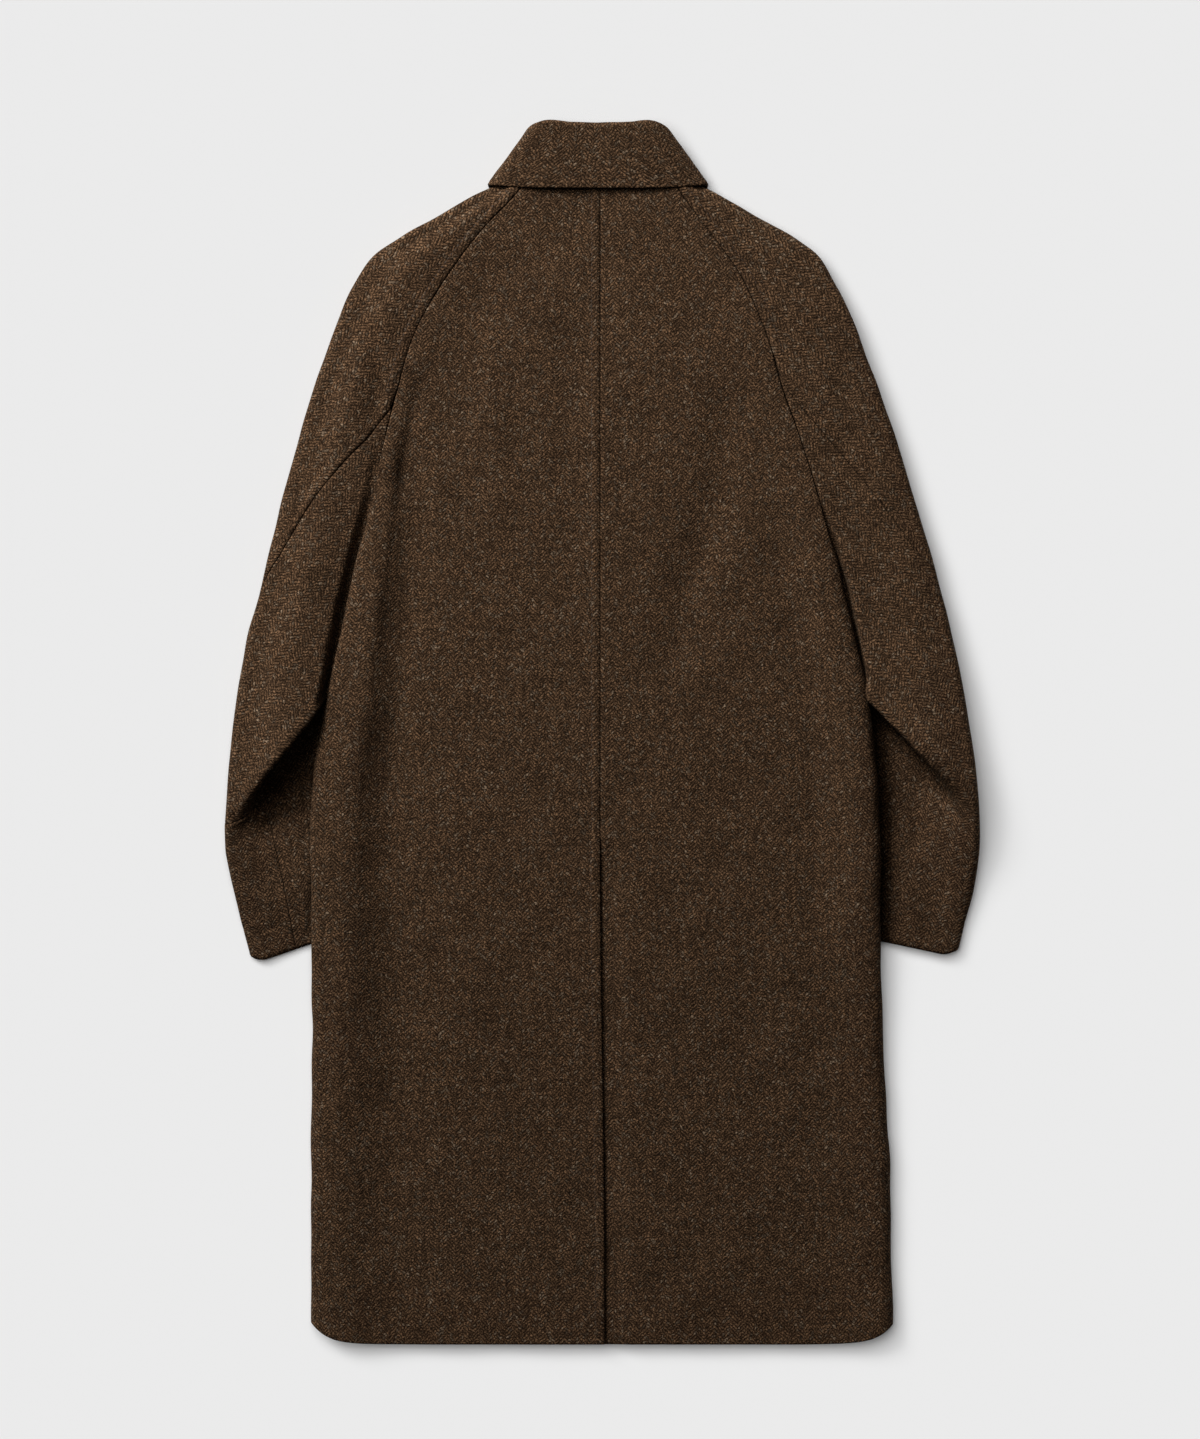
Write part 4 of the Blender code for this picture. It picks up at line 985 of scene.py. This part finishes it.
def collar_place(u, v):
    """Points of the collar: u from free edge to neck seam, v from its left front end round the back."""
    sign = np.where(v < 0.5, -1.0, 1.0)
    row = section(COLLAR, np.abs(2.0 * v - 1.0))
    angle = row.turn * math.pi
    back = (1.0 + np.cos(angle)) / 2

    def spot(x, y, heights):
        return together(x, y, mix(heights[1], heights[0], back))

    roll = spot(row.roll_x, row.roll_y, ROLL_HEIGHTS)
    edge = spot(row.edge_x, row.edge_y, EDGE_HEIGHTS)
    edge[..., 2] -= COLLAR_END_DROP * ease(row.edge_x, *COLLAR_END_FROM) * back
    neck = spot(row.neck_x, row.neck_y, NECK_HEIGHTS)
    rise = roll - (edge + neck) / 2
    rise[..., 2] = 0.0
    rise = rise / np.linalg.norm(rise, axis=-1, keepdims=True)
    sway = np.sin(angle)
    outward = np.stack([rise[..., 1] * sway, -rise[..., 0] * sway, np.cos(angle)], axis=-1)
    centre = roll - rise * COLLAR_ROLL
    u = u[..., None]
    fall = mix(edge, centre + outward * COLLAR_ROLL, np.clip(u / FALL_ENDS, 0.0, 1.0))
    bend = math.pi * np.clip((u - FALL_ENDS) / (STAND_STARTS - FALL_ENDS), 0.0, 1.0)
    bent = centre + (outward * np.cos(bend) + rise * np.sin(bend)) * COLLAR_ROLL
    down_stand = np.clip((u - STAND_STARTS) / (1.0 - STAND_STARTS), 0.0, 1.0)
    stand = mix(centre - outward * COLLAR_ROLL, neck, down_stand)
    made = np.where(u < FALL_ENDS, fall, np.where(u < STAND_STARTS, bent, stand))
    made[..., 0] = COLLAR_CENTRE + sign * made[..., 0]
    return made


# The collar's wool is the body's wool painted 3 % darker: painted shade.
collar_wool_painted_darker = wool("collar_wool_painted_darker", painted_brightness=0.97)
collar_rows = np.linspace(0.0, 1.0, 181)
points, from_edge, _ = lay(collar_place, collar_rows, columns=74)
out = facing(points)
x, y = points[..., 0], points[..., 1]
relief = COLLAR_UNEVEN * unevenness(x, y, longest=0.070, shortest=0.020, seed=8)
relief = relief + COLLAR_RIM * ease(from_edge, 0.0, 0.0012) * (1.0 - ease(from_edge, 0.0025, 0.0050))
relief = relief - COLLAR_DENT * bump(from_edge, COLLAR_STITCH, half_width=0.0012)
points = points + out * (relief * ease(out[..., 2], *FACING_UP))[..., None]
points[..., 2] = np.maximum(points[..., 2], FLOOR)
GRAIN_COLUMN = 30
round_neck = run_along(points[:, GRAIN_COLUMN])
grain = together(round_neck[:, None] - round_neck[len(round_neck) // 2], -from_edge)
collar = cloth("turned_collar", points, grain, collar_wool_painted_darker)
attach(collar, "root")
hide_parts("collar")
line = stitch_line(points, out, from_edge, COLLAR_STITCH, range(3, len(points) - 3))
stitching = topstitch("collar_edge_stitching", line)


# The floor, light and camera. The coat lies on a plain pale floor under soft light from the upper
# left, seen from straight above. The floor has lights of its own, as in a studio with a lit table.
FLOOR_SIDE = 12.0
FLOOR_DEPTH = 0.0006
CAMERA_HEIGHT = 6.0
FRAME_CENTRE = (-0.00225, 0.01125)
FRAME_HEIGHT = 1.2951
COAT_MIDDLE = 0.010
SENSOR = 36.0

bpy.ops.object.select_all(action="DESELECT")
bpy.ops.mesh.primitive_plane_add(size=FLOOR_SIDE, location=(0.0, 0.0, -FLOOR_DEPTH))
floor = bpy.context.object
floor.name = "floor"
bpy.ops.object.transform_apply(location=True, rotation=False, scale=False)
paper = bpy.data.materials.new("pale_paper")
shader_of(paper, {"Base Color": (0.80, 0.80, 0.80, 1.0), "Roughness": 0.95, "Specular IOR Level": 0.0})
floor.data.materials.append(paper)

sky = bpy.data.worlds.new("studio")
sky.use_nodes = True
sky.node_tree.nodes["Background"].inputs["Color"].default_value = (1.0, 1.0, 1.0, 1.0)
sky.node_tree.nodes["Background"].inputs["Strength"].default_value = 0.04
bpy.context.scene.world = sky

on_floor = bpy.data.collections.new("lit_floor")
on_floor.objects.link(floor)
on_coat = bpy.data.collections.new("lit_coat")
for piece in list(bpy.context.scene.objects):
    if piece.type == "MESH" and piece is not floor:
        on_coat.objects.link(piece)


def lamp(name, lights, height, turn, energy, breadth):
    """A far light on some of the pieces: degrees above the floor, round from the right, and broad."""
    bpy.ops.object.light_add(type="SUN", location=(-1.5, 1.5, 2.2))
    light = bpy.context.object
    light.name = name
    light.data.energy = energy
    light.data.angle = math.radians(breadth)
    light.rotation_euler = (0.0, math.radians(90 - height), math.radians(turn))
    light.light_linking.receiver_collection = lights


lamp("table_light", on_floor, height=66, turn=130, energy=2.77, breadth=60)
lamp("table_edge_light", on_floor, height=36, turn=136, energy=1.02, breadth=22)

for name, place, size, energy in (
    ("window_light", (-2.07, 3.44, 2.18), 1.45, 245.0),
    ("soft_box", (-0.80, 1.45, 1.30), 1.80, 21.0),
):
    bpy.ops.object.light_add(type="AREA", location=place)
    light = bpy.context.object
    light.name = name
    light.data.shape = "DISK"
    light.data.size = size
    light.data.energy = energy
    light.rotation_euler = (-light.location).to_track_quat("-Z", "Y").to_euler()
    light.light_linking.receiver_collection = on_coat

bpy.ops.object.camera_add(location=(FRAME_CENTRE[0], FRAME_CENTRE[1], CAMERA_HEIGHT))
camera = bpy.context.object
camera.rotation_euler = (0.0, 0.0, 0.0)
camera.data.sensor_width = SENSOR
camera.data.lens = SENSOR * (CAMERA_HEIGHT - COAT_MIDDLE) / FRAME_HEIGHT
bpy.context.scene.camera = camera
bpy.context.scene.view_settings.view_transform = "Standard"
